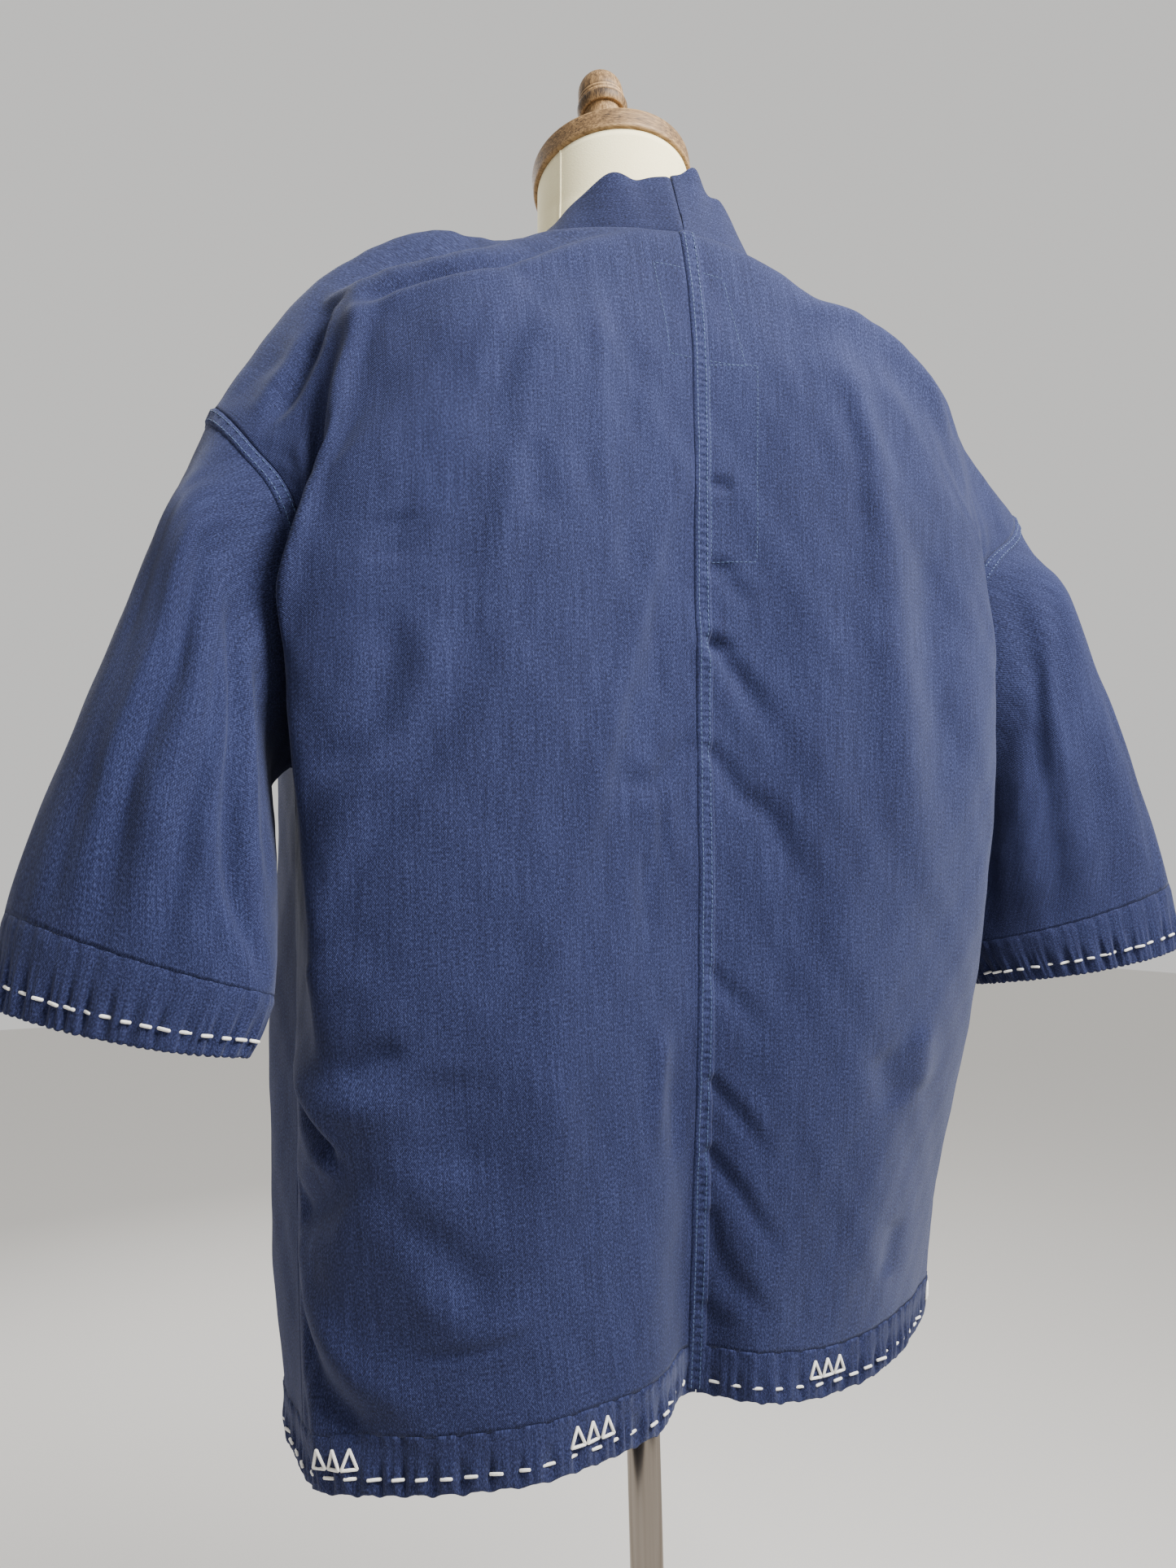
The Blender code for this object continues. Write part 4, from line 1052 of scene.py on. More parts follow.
# Finer waves between the puckers: pitch, and share of the puckers' height
CUFF_FINE_PITCH = CUFF_PITCH / 2.6
CUFF_FINE = 0.35
# How far the folded edge sways along the sleeve, and the share of the depth where that begins
CUFF_SWAY = 0.0006
CUFF_SWAY_START = 0.7
# The waves rise from this share of their height at the seam, over this share of the depth
CUFF_SEAM_SHARE = 0.25
CUFF_RISE = 0.08
# What sets the waves and the finer waves of one band apart from another's
CUFF_SEEDS = (0.6, 2.1)


def closed_between(rings, place):
    """Read rows of points, whose last column repeats the first, at fractional places."""
    low = np.clip(np.floor(place).astype(int), 0, rings.shape[1] - 2)
    share = (place - low)[None, :, None]
    return rings[:, low] * (1.0 - share) + rings[:, low + 1] * share


def even_places(line, count):
    """Space places evenly along a line of points."""
    reach = reach_along(line)
    return np.interp(np.linspace(0.0, reach[-1], count), reach, np.arange(len(line)))


def cuff_surface(side, shares):
    """Give points and normals of a cuff at shares from its seam to its folded edge."""
    shares = np.asarray(shares, float)
    metres = CUFF_SEAM + SEAM_GAP / 2 + shares * (CUFF_EDGE - CUFF_SEAM - SEAM_GAP / 2)
    points, normals = draped_sleeve(metres, side)
    seam_row, _ = draped_sleeve([CUFF_SEAM], side)
    place = even_places(seam_row[0], CUFF_COLUMNS + 1)
    points = closed_between(points, place)
    normals = unit(closed_between(normals, place))
    reach = np.linspace(0.0, reach_along(points)[0, -1], CUFF_COLUMNS + 1)
    wave = uneven_waves(reach, CUFF_PITCH, CUFF_SEEDS[0] + side)
    fine = uneven_waves(reach, CUFF_FINE_PITCH, CUFF_SEEDS[1] + side)
    depth = CUFF_PUCKER * pucker_depth(shares, CUFF_STITCH_SHARE)[:, None]
    height = BAND_PROUD + depth * wave[None] + CUFF_FINE * depth * fine[None]
    height = height * np.clip(shares / CUFF_RISE, CUFF_SEAM_SHARE, 1.0)[:, None]
    swaying = np.clip((shares - CUFF_SWAY_START) / (1.0 - CUFF_SWAY_START), 0.0, 1.0)
    sway = CUFF_SWAY * swaying[:, None] * fine[None]
    along = unit(points[-1] - points[0])
    return points + normals * height[..., None] + along[None] * sway[..., None], normals


for side, word in SIDES:
    shares = np.linspace(0.0, 1.0, CUFF_ROWS)
    points, normals = cuff_surface(side, shares)
    reach = reach_along(points)
    straight = np.repeat(reach[:1], CUFF_ROWS, axis=0)
    cut = flat_grid(straight, shares * (CUFF_EDGE - CUFF_SEAM))
    points, normals, cut = folded_section(points, normals, BAND_CLOTH, cut)
    name, cloth = "cuff_band_" + word, indigo["cuff_" + word]
    piece = cut_and_hang(name, points, cut, normals, cloth, close_rows=True, close_columns=True)
    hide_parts("cuff_" + word)
    print(piece.name, "round", reach[[0, -1], -1].round(3), triangles_of(piece))

# %% [markdown]
# Each half of the hem band runs from the centre back round the side to the front edge. Its rows are
# read from the back and from the front of the draped panel, so that it carries on the panel's folds.

# %% Hang the hem
HEM_ROWS = 16
HEM_PITCH = 0.0160
HEM_PUCKER = 0.0018
HEM_COLUMNS = 560
HEM_STITCH_SHARE = 0.72
HEM_ACROSS = np.linspace(0.0, 1.0, 161)
HEM_FINE_PITCH = HEM_PITCH / 2.7
HEM_FINE = 0.4
# The waves fade out towards the band's ends, and lift and lower its folded edge by this much, from
# this share of the depth on
HEM_END_FADE = 0.010
HEM_WAVE_DROP = 0.0011
HEM_DROP_START = 0.5
HEM_SEEDS = (1.1, 3.3)


def hem_row(side, depth):
    """Give one row of the hem, from the centre back round to the front edge, and its normals."""
    back, back_normals = draped_panel(depth, HEM_ACROSS, side)
    front, front_normals = draped_panel(PANEL_LENGTH - depth, HEM_ACROSS, side)
    row = np.concatenate([back[0], front[0, -2::-1]])
    return row, np.concatenate([back_normals[0], front_normals[0, -2::-1]])


# Height of the band's seam row, and the even spacing of its columns, found on that row
HEM_SEAM = HEM_DEPTH - SEAM_GAP / 2
HEM_PLACES = {side: even_places(hem_row(side, HEM_SEAM)[0], HEM_COLUMNS) for side, _ in SIDES}


def hem_surface(side, shares):
    """Give points and normals of half the hem band, from the centre back to the front edge."""
    shares = np.asarray(shares, float)
    found = [hem_row(side, HEM_SEAM * (1.0 - share)) for share in shares]
    rows, facing = (np.array(part) for part in zip(*found))
    place = HEM_PLACES[side]
    points = closed_between(rows, place)
    normals = unit(closed_between(facing, place))
    reach = np.linspace(0.0, reach_along(points)[0, -1], HEM_COLUMNS)
    wave = uneven_waves(reach, HEM_PITCH, HEM_SEEDS[0] + 2 * side)
    fine = uneven_waves(reach, HEM_FINE_PITCH, HEM_SEEDS[1] + side)
    depth = pucker_depth(shares, HEM_STITCH_SHARE)[:, None]
    ends = np.clip(np.minimum(reach, reach[-1] - reach) / HEM_END_FADE, 0.0, 1.0)
    height = BAND_PROUD + HEM_PUCKER * depth * ((wave + HEM_FINE * fine) * ends)[None]
    dropping = np.clip((shares - HEM_DROP_START) / (1.0 - HEM_DROP_START), 0.0, 1.0)
    points = points + normals * height[..., None]
    points[..., 2] += HEM_WAVE_DROP * dropping[:, None] * (wave * ends)[None]
    points[:, 0, 0] = side * SEAM_GAP / 2
    return points, normals


for side, word in SIDES:
    shares = np.linspace(0.0, 1.0, HEM_ROWS)
    points, normals = hem_surface(side, shares)
    reach = reach_along(points)
    straight = np.repeat(reach[:1], HEM_ROWS, axis=0)
    cut = flat_grid(straight, (shares - 1.0) * HEM_DEPTH)
    points, normals, cut = folded_section(points, normals, BAND_CLOTH, cut)
    piece = cut_and_hang("hem_band_" + word, points, cut, normals, indigo["hem_" + word], close_rows=True)
    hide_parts("hem_" + word)
    print(piece.name, "long", reach[[0, -1], -1].round(3), triangles_of(piece))

# %% [markdown]
# The collar is a straight band, in two halves, that stands up behind the neck and lies down the front.
# Each half is stretched between the neck edge of its panel and an inner line. Its free edge waves
# where it stands, and a narrow groove marks the seam between the halves.

# %% Hang the collar
COLLAR_ROWS = 20
COLLAR_COLUMNS = 300
COLLAR_START = 0.010
RIGHT_COLLAR_LIFT = 0.012
RIGHT_COLLAR_RUN = 0.785
RIGHT_COLLAR_REACH = 0.035
# Waves of the collar's free edge: metres from the centre back, rise and half width in metres
COLLAR_WAVES = {
    1: ((0.041, 0.0034, 0.011), (0.025, -0.0020, 0.007), (0.085, -0.0010, 0.015)),
    -1: ((0.018, 0.0085, 0.009), (0.034, -0.0030, 0.008), (0.060, -0.0030, 0.015)),
}
# Share of a wave's rise that leans outwards
WAVE_LEAN = 0.35
# Fine ripples of the band: height, and two paces along it whose product is uneven
COLLAR_RIPPLE = 0.00035
COLLAR_PACES = (210.0, 67.0)
# Depth and half width of the groove at the collar's centre back seam
COLLAR_GROOVE = 0.0016
GROOVE_REACH = 0.0022
# Run of the seam on the body panel, then the point of the inner edge
COLLAR_SECTIONS = (
    (0.735, (0.000, 0.105, 1.470)),
    (0.750, (0.041, 0.094, 1.466)),
    (0.775, (0.071, 0.066, 1.446)),
    (0.800, (0.076, 0.036, 1.444)),
    (0.845, (0.070, -0.010, 1.442)),
    (0.920, (0.044, -0.066, 1.392)),
    (1.030, (0.024, -0.120, 1.290)),
    (1.130, (0.016, -0.137, 1.192)),
    (1.301, (0.015, -0.138, 1.030)),
    (1.421, (0.016, -0.136, 0.910)),
    (1.531, (0.017, -0.132, 0.800)),
    (1.648, (0.018, -0.124, 0.683)),
)


def collar_surface(side, shares):
    """Give points and normals of half the collar, from its seam to its folded edge."""
    behind_neck = COLLAR_COLUMNS // 3
    runs = np.concatenate([
        np.linspace(NECK_RUN, CREST_RUN, behind_neck, endpoint=False),
        np.linspace(CREST_RUN, PANEL_LENGTH, COLLAR_COLUMNS - behind_neck),
    ])
    seam = panel_skin(runs, [0.0], side)[:, 0]
    inner = smooth([row[0] for row in COLLAR_SECTIONS], [row[1] for row in COLLAR_SECTIONS], runs)
    inner = drag(inner, side)
    if side < 0:
        inner[:, 2] += RIGHT_COLLAR_LIFT * hump(runs, RIGHT_COLLAR_RUN, RIGHT_COLLAR_REACH)
    inner[..., 0] *= side
    shares = np.asarray(shares)[:, None, None]
    points = seam[None] * (1.0 - shares) + inner[None] * shares
    along = np.gradient(points, axis=0)
    across = np.gradient(points, axis=1)
    normals = unit(np.cross(along, across)) * side
    normals[:, 0, 0] = 0.0
    return points, unit(normals)


for side, word in SIDES:
    shares = np.linspace(COLLAR_START, 1.0, COLLAR_ROWS)
    points, normals = collar_surface(side, shares)
    reach = reach_along(points)
    ripple = COLLAR_RIPPLE * np.sin(reach * COLLAR_PACES[0] + side) * np.sin(reach * COLLAR_PACES[1])
    wave = sum(rise * hump(reach[-1], centre, width) for centre, rise, width in COLLAR_WAVES[side])
    wave = wave[None] * np.asarray(shares)[:, None] ** 2
    seam_dip = COLLAR_GROOVE * hump(reach, 0.0, GROOVE_REACH)
    points = points + normals * (ripple + WAVE_LEAN * wave - seam_dip)[..., None]
    points[..., 2] += wave
    points[:, 0, 0] = side * SEAM_GAP / 2
    width = np.linalg.norm(points[-1] - points[0], axis=-1)
    cut = np.stack([shares[:, None] * width[None], reach], axis=-1)
    points, normals, cut = folded_section(points, normals, BAND_CLOTH, cut)
    cloth = indigo["collar_" + word]
    piece = cut_and_hang("collar_band_" + word, points, cut, normals, cloth, close_rows=True)
    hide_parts("collar_" + word)
    print(piece.name, "long", reach[0, -1].round(3), "wide", width[0].round(3), triangles_of(piece))

# %% [markdown]
# ## The dress form
# The form is padded and covered in cream jersey, cut off flat below and at the neck. Rings through
# the torso's sections are lofted into one smooth skin. The cover's seams run up the neck.

# %% Knit the cover
CREAM = (0.88, 0.80, 0.58, 1.0)


def jersey(name):
    """Make cream jersey: fine ribs of knitting round the form and a slightly uneven tone."""
    material = plain_material(name, CREAM, 0.88)
    tree = material.node_tree
    shader = tree.nodes["Principled BSDF"]
    shader.inputs["Sheen Weight"].default_value = 0.15
    place = object_places(tree)
    knit = stretched_noise(tree, place, (900.0, 900.0, 1400.0), 1.0)
    cloudy = stretched_noise(tree, place, (14.0, 14.0, 14.0), 3.0)
    tone = sum_of(tree, [(knit, 0.35), (cloudy, 0.65)])
    colour_by(tree, tone, ((0.30, (0.84, 0.73, 0.42, 1.0)), (0.70, (0.94, 0.86, 0.55, 1.0))))
    raise_by(tree, knit, 0.35, 0.0003)
    return material


cream = jersey("cream_jersey")
print("material", cream.name)

# %% [markdown]
# The rings are ellipses with different depths in front and behind. The last ones tilt step by step
# to the plane of the neck cap, so that the cover ends right under it. The flat ends are filled.

# %% Pad the form
TORSO_SECTIONS = (
    (0.800, 0.120, -0.078, 0.082),
    (0.815, 0.146, -0.098, 0.090),
    (0.860, 0.165, -0.108, 0.097),
    (0.940, 0.170, -0.108, 0.104),
    (1.030, 0.153, -0.098, 0.090),
    (1.110, 0.135, -0.092, 0.080),
    (1.190, 0.146, -0.106, 0.090),
    (1.270, 0.163, -0.110, 0.106),
    (1.330, 0.176, -0.088, 0.108),
    (1.370, 0.172, -0.062, 0.096),
    (1.398, 0.146, -0.042, 0.082),
    (1.416, 0.1072, -0.030, 0.072),
    (1.430, 0.0752, -0.034, 0.064),
    (1.442, 0.063, -0.042, 0.058),
    (1.460, 0.059, -0.051, 0.054),
    (1.490, 0.0565, -0.0545, 0.0545),
)
TORSO_COLUMNS = 96
TORSO_ROWS = 90
# Heights of the trunk's last ring and of the first of the closer rings up the shoulders and neck
TRUNK_TOP = 1.380
SHOULDER_FOOT = 1.385
# Rings between the neck and the cap's underside
NECK_RINGS = 10
NECK_RADIUS = 0.0570
CAP_TILT = math.radians(12.0)
CAP_AXIS = np.array((0.0, -math.sin(CAP_TILT), math.cos(CAP_TILT)))
CAP_CENTRE = 1.537
CAP_THICKNESS = 0.0165
FIT_GAP = 0.0003
# Metres of the flat cover for each radian round the form
COVER_RADIUS = 0.1


def torso_rings():
    """Give the form's rings from the bottom up, the last one tilted under the cap."""
    knots = [section[0] for section in TORSO_SECTIONS]
    trunk = np.linspace(knots[0], TRUNK_TOP, TORSO_ROWS // 2)
    shoulders = np.linspace(SHOULDER_FOOT, knots[-1], TORSO_ROWS // 2)
    heights = np.concatenate([trunk, shoulders])
    rows = smooth(knots, [section[1:] for section in TORSO_SECTIONS], heights)
    angles = np.linspace(0.0, 2 * math.pi, TORSO_COLUMNS + 1)
    rings = []
    for height, (width, front, back) in zip(heights, rows):
        depth = (front + back) / 2 + (back - front) / 2 * np.sin(angles)
        rings.append(np.stack([width * np.cos(angles), depth, np.full_like(angles, height)], axis=-1))
    under = np.array((0.0, 0.0, CAP_CENTRE)) - CAP_AXIS * (CAP_THICKNESS + FIT_GAP)
    across = np.array((0.0, math.cos(CAP_TILT), math.sin(CAP_TILT)))
    circle = np.cos(angles)[:, None] * np.array((1.0, 0.0, 0.0)) + np.sin(angles)[:, None] * across
    top = under + NECK_RADIUS * circle
    for share in np.linspace(1.0 / NECK_RINGS, 1.0, NECK_RINGS):
        rings.append(rings[TORSO_ROWS - 1] * (1.0 - share) + top * share)
    return np.array(rings), angles


points, angles = torso_rings()
normals = points - points.mean(axis=1, keepdims=True)
cut = np.stack(np.meshgrid(angles * COVER_RADIUS, points[:, 0, 2], indexing="xy"), axis=-1)
cover = cut_and_hang("form_cover", points, cut, normals, cream, close_columns=True)
bm = bmesh.new()
bm.from_mesh(cover.data)
bmesh.ops.holes_fill(bm, edges=[e for e in bm.edges if e.is_boundary], sides=0)
bm.to_mesh(cover.data)
bm.free()
cover.data.shade_smooth()
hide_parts("form_torso")
print(cover.name, triangles_of(cover))

# %% [markdown]
# The cover's seams show as fine ridges up the neck. Two are made behind and two in front. A line in
# the material alone would lie flat, so each ridge is a narrow strip of its own, laid along the rings.

# %% Sew the cover's seams
# Angles of the cover's seams round the neck, in degrees from the wearer's left
NECK_SEAMS = (27.0, 153.0, -63.0, -117.0)
NECK_SEAM_FOOT = 1.36
# Section of a raised seam: metres sideways, and how far each point stands out
NECK_SEAM_OFFSETS = np.array((-0.0012, -0.0007, 0.0, 0.0007, 0.0012))
NECK_SEAM_PROUD = np.array((-0.0001, 0.0005, 0.0006, 0.0005, -0.0001))
NECK_SEAM_CLOTH = 0.0004


def cover_seam(number, degrees, rings, material):
    """Run one of the cover's raised seams up the shoulder and the neck, at an angle round the form."""
    column = degrees % 360.0 / 360.0 * TORSO_COLUMNS
    low, share = int(column), column % 1.0
    line = rings[:, low] * (1.0 - share) + rings[:, low + 1] * share
    rows = line[:, 2] > NECK_SEAM_FOOT
    line, facing = line[rows], unit((line - rings.mean(axis=1))[rows])
    sideways = unit(np.cross(facing, (0.0, 0.0, 1.0)))
    strip = line[:, None] + sideways[:, None] * NECK_SEAM_OFFSETS[None, :, None]
    strip = strip + facing[:, None] * NECK_SEAM_PROUD[None, :, None]
    flat = np.stack(np.meshgrid(NECK_SEAM_OFFSETS, reach_along(line), indexing="xy"), axis=-1)
    normals = np.repeat(facing[:, None], len(NECK_SEAM_OFFSETS), axis=1)
    seam = cut_and_hang("cover_seam_%d" % number, strip, flat, normals, material)
    thicken(seam, NECK_SEAM_CLOTH)


for number, degrees in enumerate(NECK_SEAMS):
    cover_seam(number, degrees, points, cream)
print(len(NECK_SEAMS), "seams of the cover")

# %% [markdown]
# ## Stitches
# Every sewn line is real geometry: a short capsule for each stitch, turned along its line and sunk
# a little into the cloth. One capsule is shaped from a small sphere whose halves are drawn apart,
# and its copies are joined into one piece for each line of sewing.

# %% Make rows of stitches
# The middle ring of the small sphere is left where it is; its height is zero but for rounding
NEARLY_NOTHING = 1e-7
# Two paces along a row that make its stitches uneven, and how far they shift as a share of the pitch
SWAY_PACES = (2.4, 0.37)
SWAY_SHIFT = 0.25


def stitch_shape(length, radius, sides, rings):
    """Shape one stitch along X from a sphere whose halves are drawn apart."""
    bm = bmesh.new()
    bmesh.ops.create_uvsphere(bm, u_segments=sides, v_segments=rings, radius=radius)
    half = max(length / 2 - radius, 0.0)
    upper = [v for v in bm.verts if v.co.z > NEARLY_NOTHING]
    lower = [v for v in bm.verts if v.co.z < -NEARLY_NOTHING]
    bmesh.ops.translate(bm, verts=upper, vec=(0.0, 0.0, half))
    bmesh.ops.translate(bm, verts=lower, vec=(0.0, 0.0, -half))
    bmesh.ops.rotate(bm, verts=bm.verts, cent=(0, 0, 0), matrix=Matrix.Rotation(math.pi / 2, 3, "Y"))
    shape = bpy.data.meshes.new("stitch_shape")
    bm.to_mesh(shape)
    bm.free()
    return shape


def add_stitch(bm, shape, matrix):
    """Add a turned copy of a stitch to a mesh in the making."""
    copy = shape.copy()
    copy.transform(matrix)
    bm.from_mesh(copy)
    bpy.data.meshes.remove(copy)


def frame_at(place, direction, normal):
    """Turn X along the direction and Z along the normal, at a place."""
    x = Vector(direction).normalized()
    z = Vector(normal)
    z = (z - x * z.dot(x)).normalized()
    matrix = Matrix((x, z.cross(x), z)).transposed().to_4x4()
    matrix.translation = Vector(place)
    return matrix


def finish_piece(name, bm, material):
    """Turn a mesh in the making into a piece that rides with the jacket."""
    mesh = bpy.data.meshes.new(name)
    bm.to_mesh(mesh)
    bm.free()
    mesh.shade_smooth()
    mesh.materials.append(material)
    piece = bpy.data.objects.new(name, mesh)
    bpy.context.scene.collection.objects.link(piece)
    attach(piece, root)
    return piece


def along_line(line, normals, distance):
    """Read a line of points and its normals at distances along it."""
    reach = reach_along(line)
    return read_at(distance, reach, line), unit(read_at(distance, reach, normals))


def stitch_line(bm, line, normals, pitch, length, radius, lift, sides=5, rings=4, uneven=0.0, start=0.0):
    """Sew a row of stitches along a line of points, uneven by a share of their length."""
    shape = stitch_shape(length, radius, sides, rings)
    count = int((reach_along(line)[-1] - start) / pitch)
    for k in range(count):
        sway = uneven * math.sin(k * SWAY_PACES[0] + k * k * SWAY_PACES[1])
        middle = start + (k + 0.5 + SWAY_SHIFT * sway) * pitch
        reach = length * (1.0 + sway) / 2
        ends, facing = along_line(line, normals, np.array([middle - reach, middle, middle + reach]))
        matrix = frame_at(ends[1] + facing[1] * lift, ends[2] - ends[0], facing[1])
        add_stitch(bm, shape, matrix @ Matrix.Scale(1.0 + sway, 4, (1, 0, 0)))
    bpy.data.meshes.remove(shape)
    return count


print("rows of stitches can be sewn")

# %% [markdown]
# ## Thread
# Cotton thread is matt and twisted. At this size a fine noise for its fibres shows as well as
# modelled strands would, at a small part of their cost.

# %% Twist the thread
THREAD_SHADE = 0.78


def cotton_thread(name, colour):
    """Make a matt twisted thread."""
    material = plain_material(name, colour, 0.7)
    tree = material.node_tree
    tree.nodes["Principled BSDF"].inputs["Sheen Weight"].default_value = 0.2
    twist = stretched_noise(tree, object_places(tree), (1500.0, 1500.0, 1500.0), 2.0)
    shaded = tuple(THREAD_SHADE * c for c in colour[:3]) + (1.0,)
    colour_by(tree, twist, ((0.35, shaded), (0.62, colour)))
    raise_by(tree, twist, 0.6, 0.0002)
    return material


WHITE_THREAD = cotton_thread("white_cotton_thread", (0.84, 0.82, 0.76, 1.0))
BLUE_THREAD = cotton_thread("blue_cotton_thread", (0.050, 0.095, 0.210, 1.0))
print("threads ready")

# %% [markdown]
# The white running stitch is thick cotton thread, about seven millimetres in and nine out along
# the hem, and a little closer on the cuffs. It lies on the band's own surface.

# %% Sew the running stitches
RUNNING_RADIUS = 0.00095
# Sides and rings of a thick stitch
THICK_SIDES = 8
# Pitch, length, radius and lift of a stitch in metres, then its sides and rings and its unevenness
HEM_STITCH = (0.0163, 0.0074, RUNNING_RADIUS, 0.0004, THICK_SIDES, THICK_SIDES, 0.13)
CUFF_STITCH = (0.0118, 0.0066, RUNNING_RADIUS, 0.0004, THICK_SIDES, THICK_SIDES, 0.22)
# The hem's first stitch begins this far from the centre back
HEM_STITCH_START = 0.004

bm = bmesh.new()
sewn = 0
for side, _ in SIDES:
    points, normals = hem_surface(side, [0.0, HEM_STITCH_SHARE])
    sewn += stitch_line(bm, points[1], normals[1], *HEM_STITCH, start=HEM_STITCH_START)
hem_stitches = finish_piece("hem_running_stitch", bm, WHITE_THREAD)
bm = bmesh.new()
for side, _ in SIDES:
    points, normals = cuff_surface(side, [0.0, CUFF_STITCH_SHARE])
    sewn += stitch_line(bm, points[1], normals[1], *CUFF_STITCH)
cuff_stitches = finish_piece("cuff_running_stitch", bm, WHITE_THREAD)
print(sewn, "running stitches")

# %% [markdown]
# Groups of three small triangles are embroidered above the running stitches, in the same thread. Each
# side of a triangle is one stitch, laid between two points that are found on the band's surface.

# %% Embroider the triangles
# Middle of each group, as a share across the back of its panel
TRIANGLE_GROUPS = (0.282, 0.765, -0.250, -0.765)
TRIANGLE_PITCH = 0.0108
TRIANGLE_BASE = 0.0092
TRIANGLE_RISE = 0.0100
TRIANGLE_RUN = 0.0125
TRIANGLE_LIFT = 0.0007


def hem_line(side, run):
    """Find the line along the hem band's outer face at a height above its edge."""
    share = 1.0 - run / HEM_DEPTH
    points, normals = hem_surface(side, [share, min(share + 0.01, 1.0)])
    return points[0], normals[0]


# The lines of the triangles' bases, 0, and of their peaks, 1, on both sides
TRIANGLE_LINES = {}
for side, _ in SIDES:
    for high in (0, 1):
        TRIANGLE_LINES[side, high] = hem_line(side, TRIANGLE_RUN + high * TRIANGLE_RISE)


def on_hem(group, metres, high):
    """Find a point of the embroidery beside its group's middle: its base is at 0, its peaks at 1."""
    side = 1 if group > 0 else -1
    points, normals = TRIANGLE_LINES[side, high]
    middle = np.interp(abs(group) * (len(HEM_ACROSS) - 1), HEM_PLACES[side], np.arange(HEM_COLUMNS))
    column = middle + metres / (reach_along(TRIANGLE_LINES[side, 0][0])[-1] / (HEM_COLUMNS - 1))
    low = int(column)
    share = column - low
    return points[low] * (1.0 - share) + points[low + 1] * share, normals[low]


bm = bmesh.new()
for group in TRIANGLE_GROUPS:
    for k in (-1, 0, 1):
        step = k * TRIANGLE_PITCH
        half = TRIANGLE_BASE / 2
        corners = (on_hem(group, step + half, 0), on_hem(group, step - half, 0), on_hem(group, step, 1))
        for (first, facing), (last, _) in zip(corners, corners[1:] + corners[:1]):
            length = np.linalg.norm(last - first) + RUNNING_RADIUS
            shape = stitch_shape(length, RUNNING_RADIUS, THICK_SIDES, THICK_SIDES)
            middle = (first + last) / 2 + facing * TRIANGLE_LIFT
            add_stitch(bm, shape, frame_at(middle, last - first, facing))
            bpy.data.meshes.remove(shape)
triangles = finish_piece("hem_embroidery", bm, WHITE_THREAD)
print(len(TRIANGLE_GROUPS) * 3, "small triangles")

# %% [markdown]
# ## Felled seams
# The centre back and the armholes are felled: the seam's allowance is folded over and sewn down
# with two rows, which leaves a narrow raised lap with a ladder of small puckers. The lap is a strip
# of cloth that follows the panels, a little over a millimetre proud of them.

# %% Lay the centre back lap
LAP_HALF = 0.0056
LAP_PROUD = 0.0014
LAP_ROWS = 520
LAP_RUNS = (0.002, NECK_RUN - 0.001)
LAP_COLUMNS = 13
# A lap rises from its edge, where it keeps this share of its height, over this many metres
LAP_EDGE_SHARE = 0.35
LAP_EDGE = 0.0012
# The ladder of puckers between the rows of sewing: pitch, height and half width in metres
LADDER_PITCH = 0.0052
LADDER_RISE = 0.00055
LADDER_REACH = 0.0030
# A slow drift that makes the ladder uneven: strength, and pace along the seam
LADDER_DRIFT = 0.8
LADDER_PACE = 90.0
# Shares across each panel at which it is read beside the seam
SEAM_SIDE = np.linspace(0.0, 0.06, 7)
# Pitch, length, radius and lift of the topstitching in metres, and its rows beside the seam
TOPSTITCH = (0.0030, 0.0023, 0.00028, 0.0001)
CENTRE_ROWS = (0.0032, -0.0028)


def across_back(runs, offsets):
    """Give points and normals across the centre back, at metres to the wearer's left."""
    offsets = np.asarray(offsets, float)
    left, left_normals = draped_panel(runs, SEAM_SIDE, 1)
    right, right_normals = draped_panel(runs, SEAM_SIDE, -1)
    row = np.concatenate([right[:, ::-1], left[:, 1:]], axis=1)
    facing = np.concatenate([right_normals[:, ::-1], left_normals[:, 1:]], axis=1)
    reach = reach_along(row)
    seam = len(SEAM_SIDE) - 1
    reach = reach - reach[:, seam : seam + 1]
    points = np.array([read_at(offsets, *line) for line in zip(reach, row)])
    normals = np.array([read_at(offsets, *line) for line in zip(reach, facing)])
    return points, unit(normals)


def lap_rise(from_edge):
    """Give a lap's height above the cloth at metres from its nearest edge."""
    share = np.clip(from_edge / LAP_EDGE, 0.0, 1.0)
    return LAP_PROUD * (LAP_EDGE_SHARE + (1.0 - LAP_EDGE_SHARE) * share)


runs = np.linspace(*LAP_RUNS, LAP_ROWS)
offsets = np.linspace(LAP_HALF, -LAP_HALF, LAP_COLUMNS)
points, normals = across_back(runs, offsets)
ladder = np.sin(2 * math.pi * runs / LADDER_PITCH + LADDER_DRIFT * np.sin(runs * LADDER_PACE))
between_rows = np.exp(-((offsets / LADDER_REACH) ** 4))
height = lap_rise(LAP_HALF - np.abs(offsets))[None] + LADDER_RISE * ladder[:, None] * between_rows[None]
lap_points = points + normals * height[..., None]
cut = np.stack(np.meshgrid(offsets, runs, indexing="xy"), axis=-1)
grid, facing, flat = folded_section(
    lap_points.transpose(1, 0, 2), normals.transpose(1, 0, 2), CLOTH, cut.transpose(1, 0, 2), 1
)
centre_lap = cut_and_hang("centre_back_lap", grid, flat, facing, lap_cloth, close_rows=True)
bm = bmesh.new()
for offset in CENTRE_ROWS:
    line, facing = across_back(runs, [offset])
    stitch_line(bm, line[:, 0] + facing[:, 0] * LAP_PROUD, facing[:, 0], *TOPSTITCH)
centre_stitches = finish_piece("centre_back_topstitch", bm, BLUE_THREAD)
print(centre_lap.name, triangles_of(centre_lap), centre_stitches.name, triangles_of(centre_stitches))

# %% [markdown]
# The armhole's lap lies on the sleeve, right below the seam, and goes all round. It is made from the
# sleeve's own surface, with small puckers across it and two rows of topstitching.

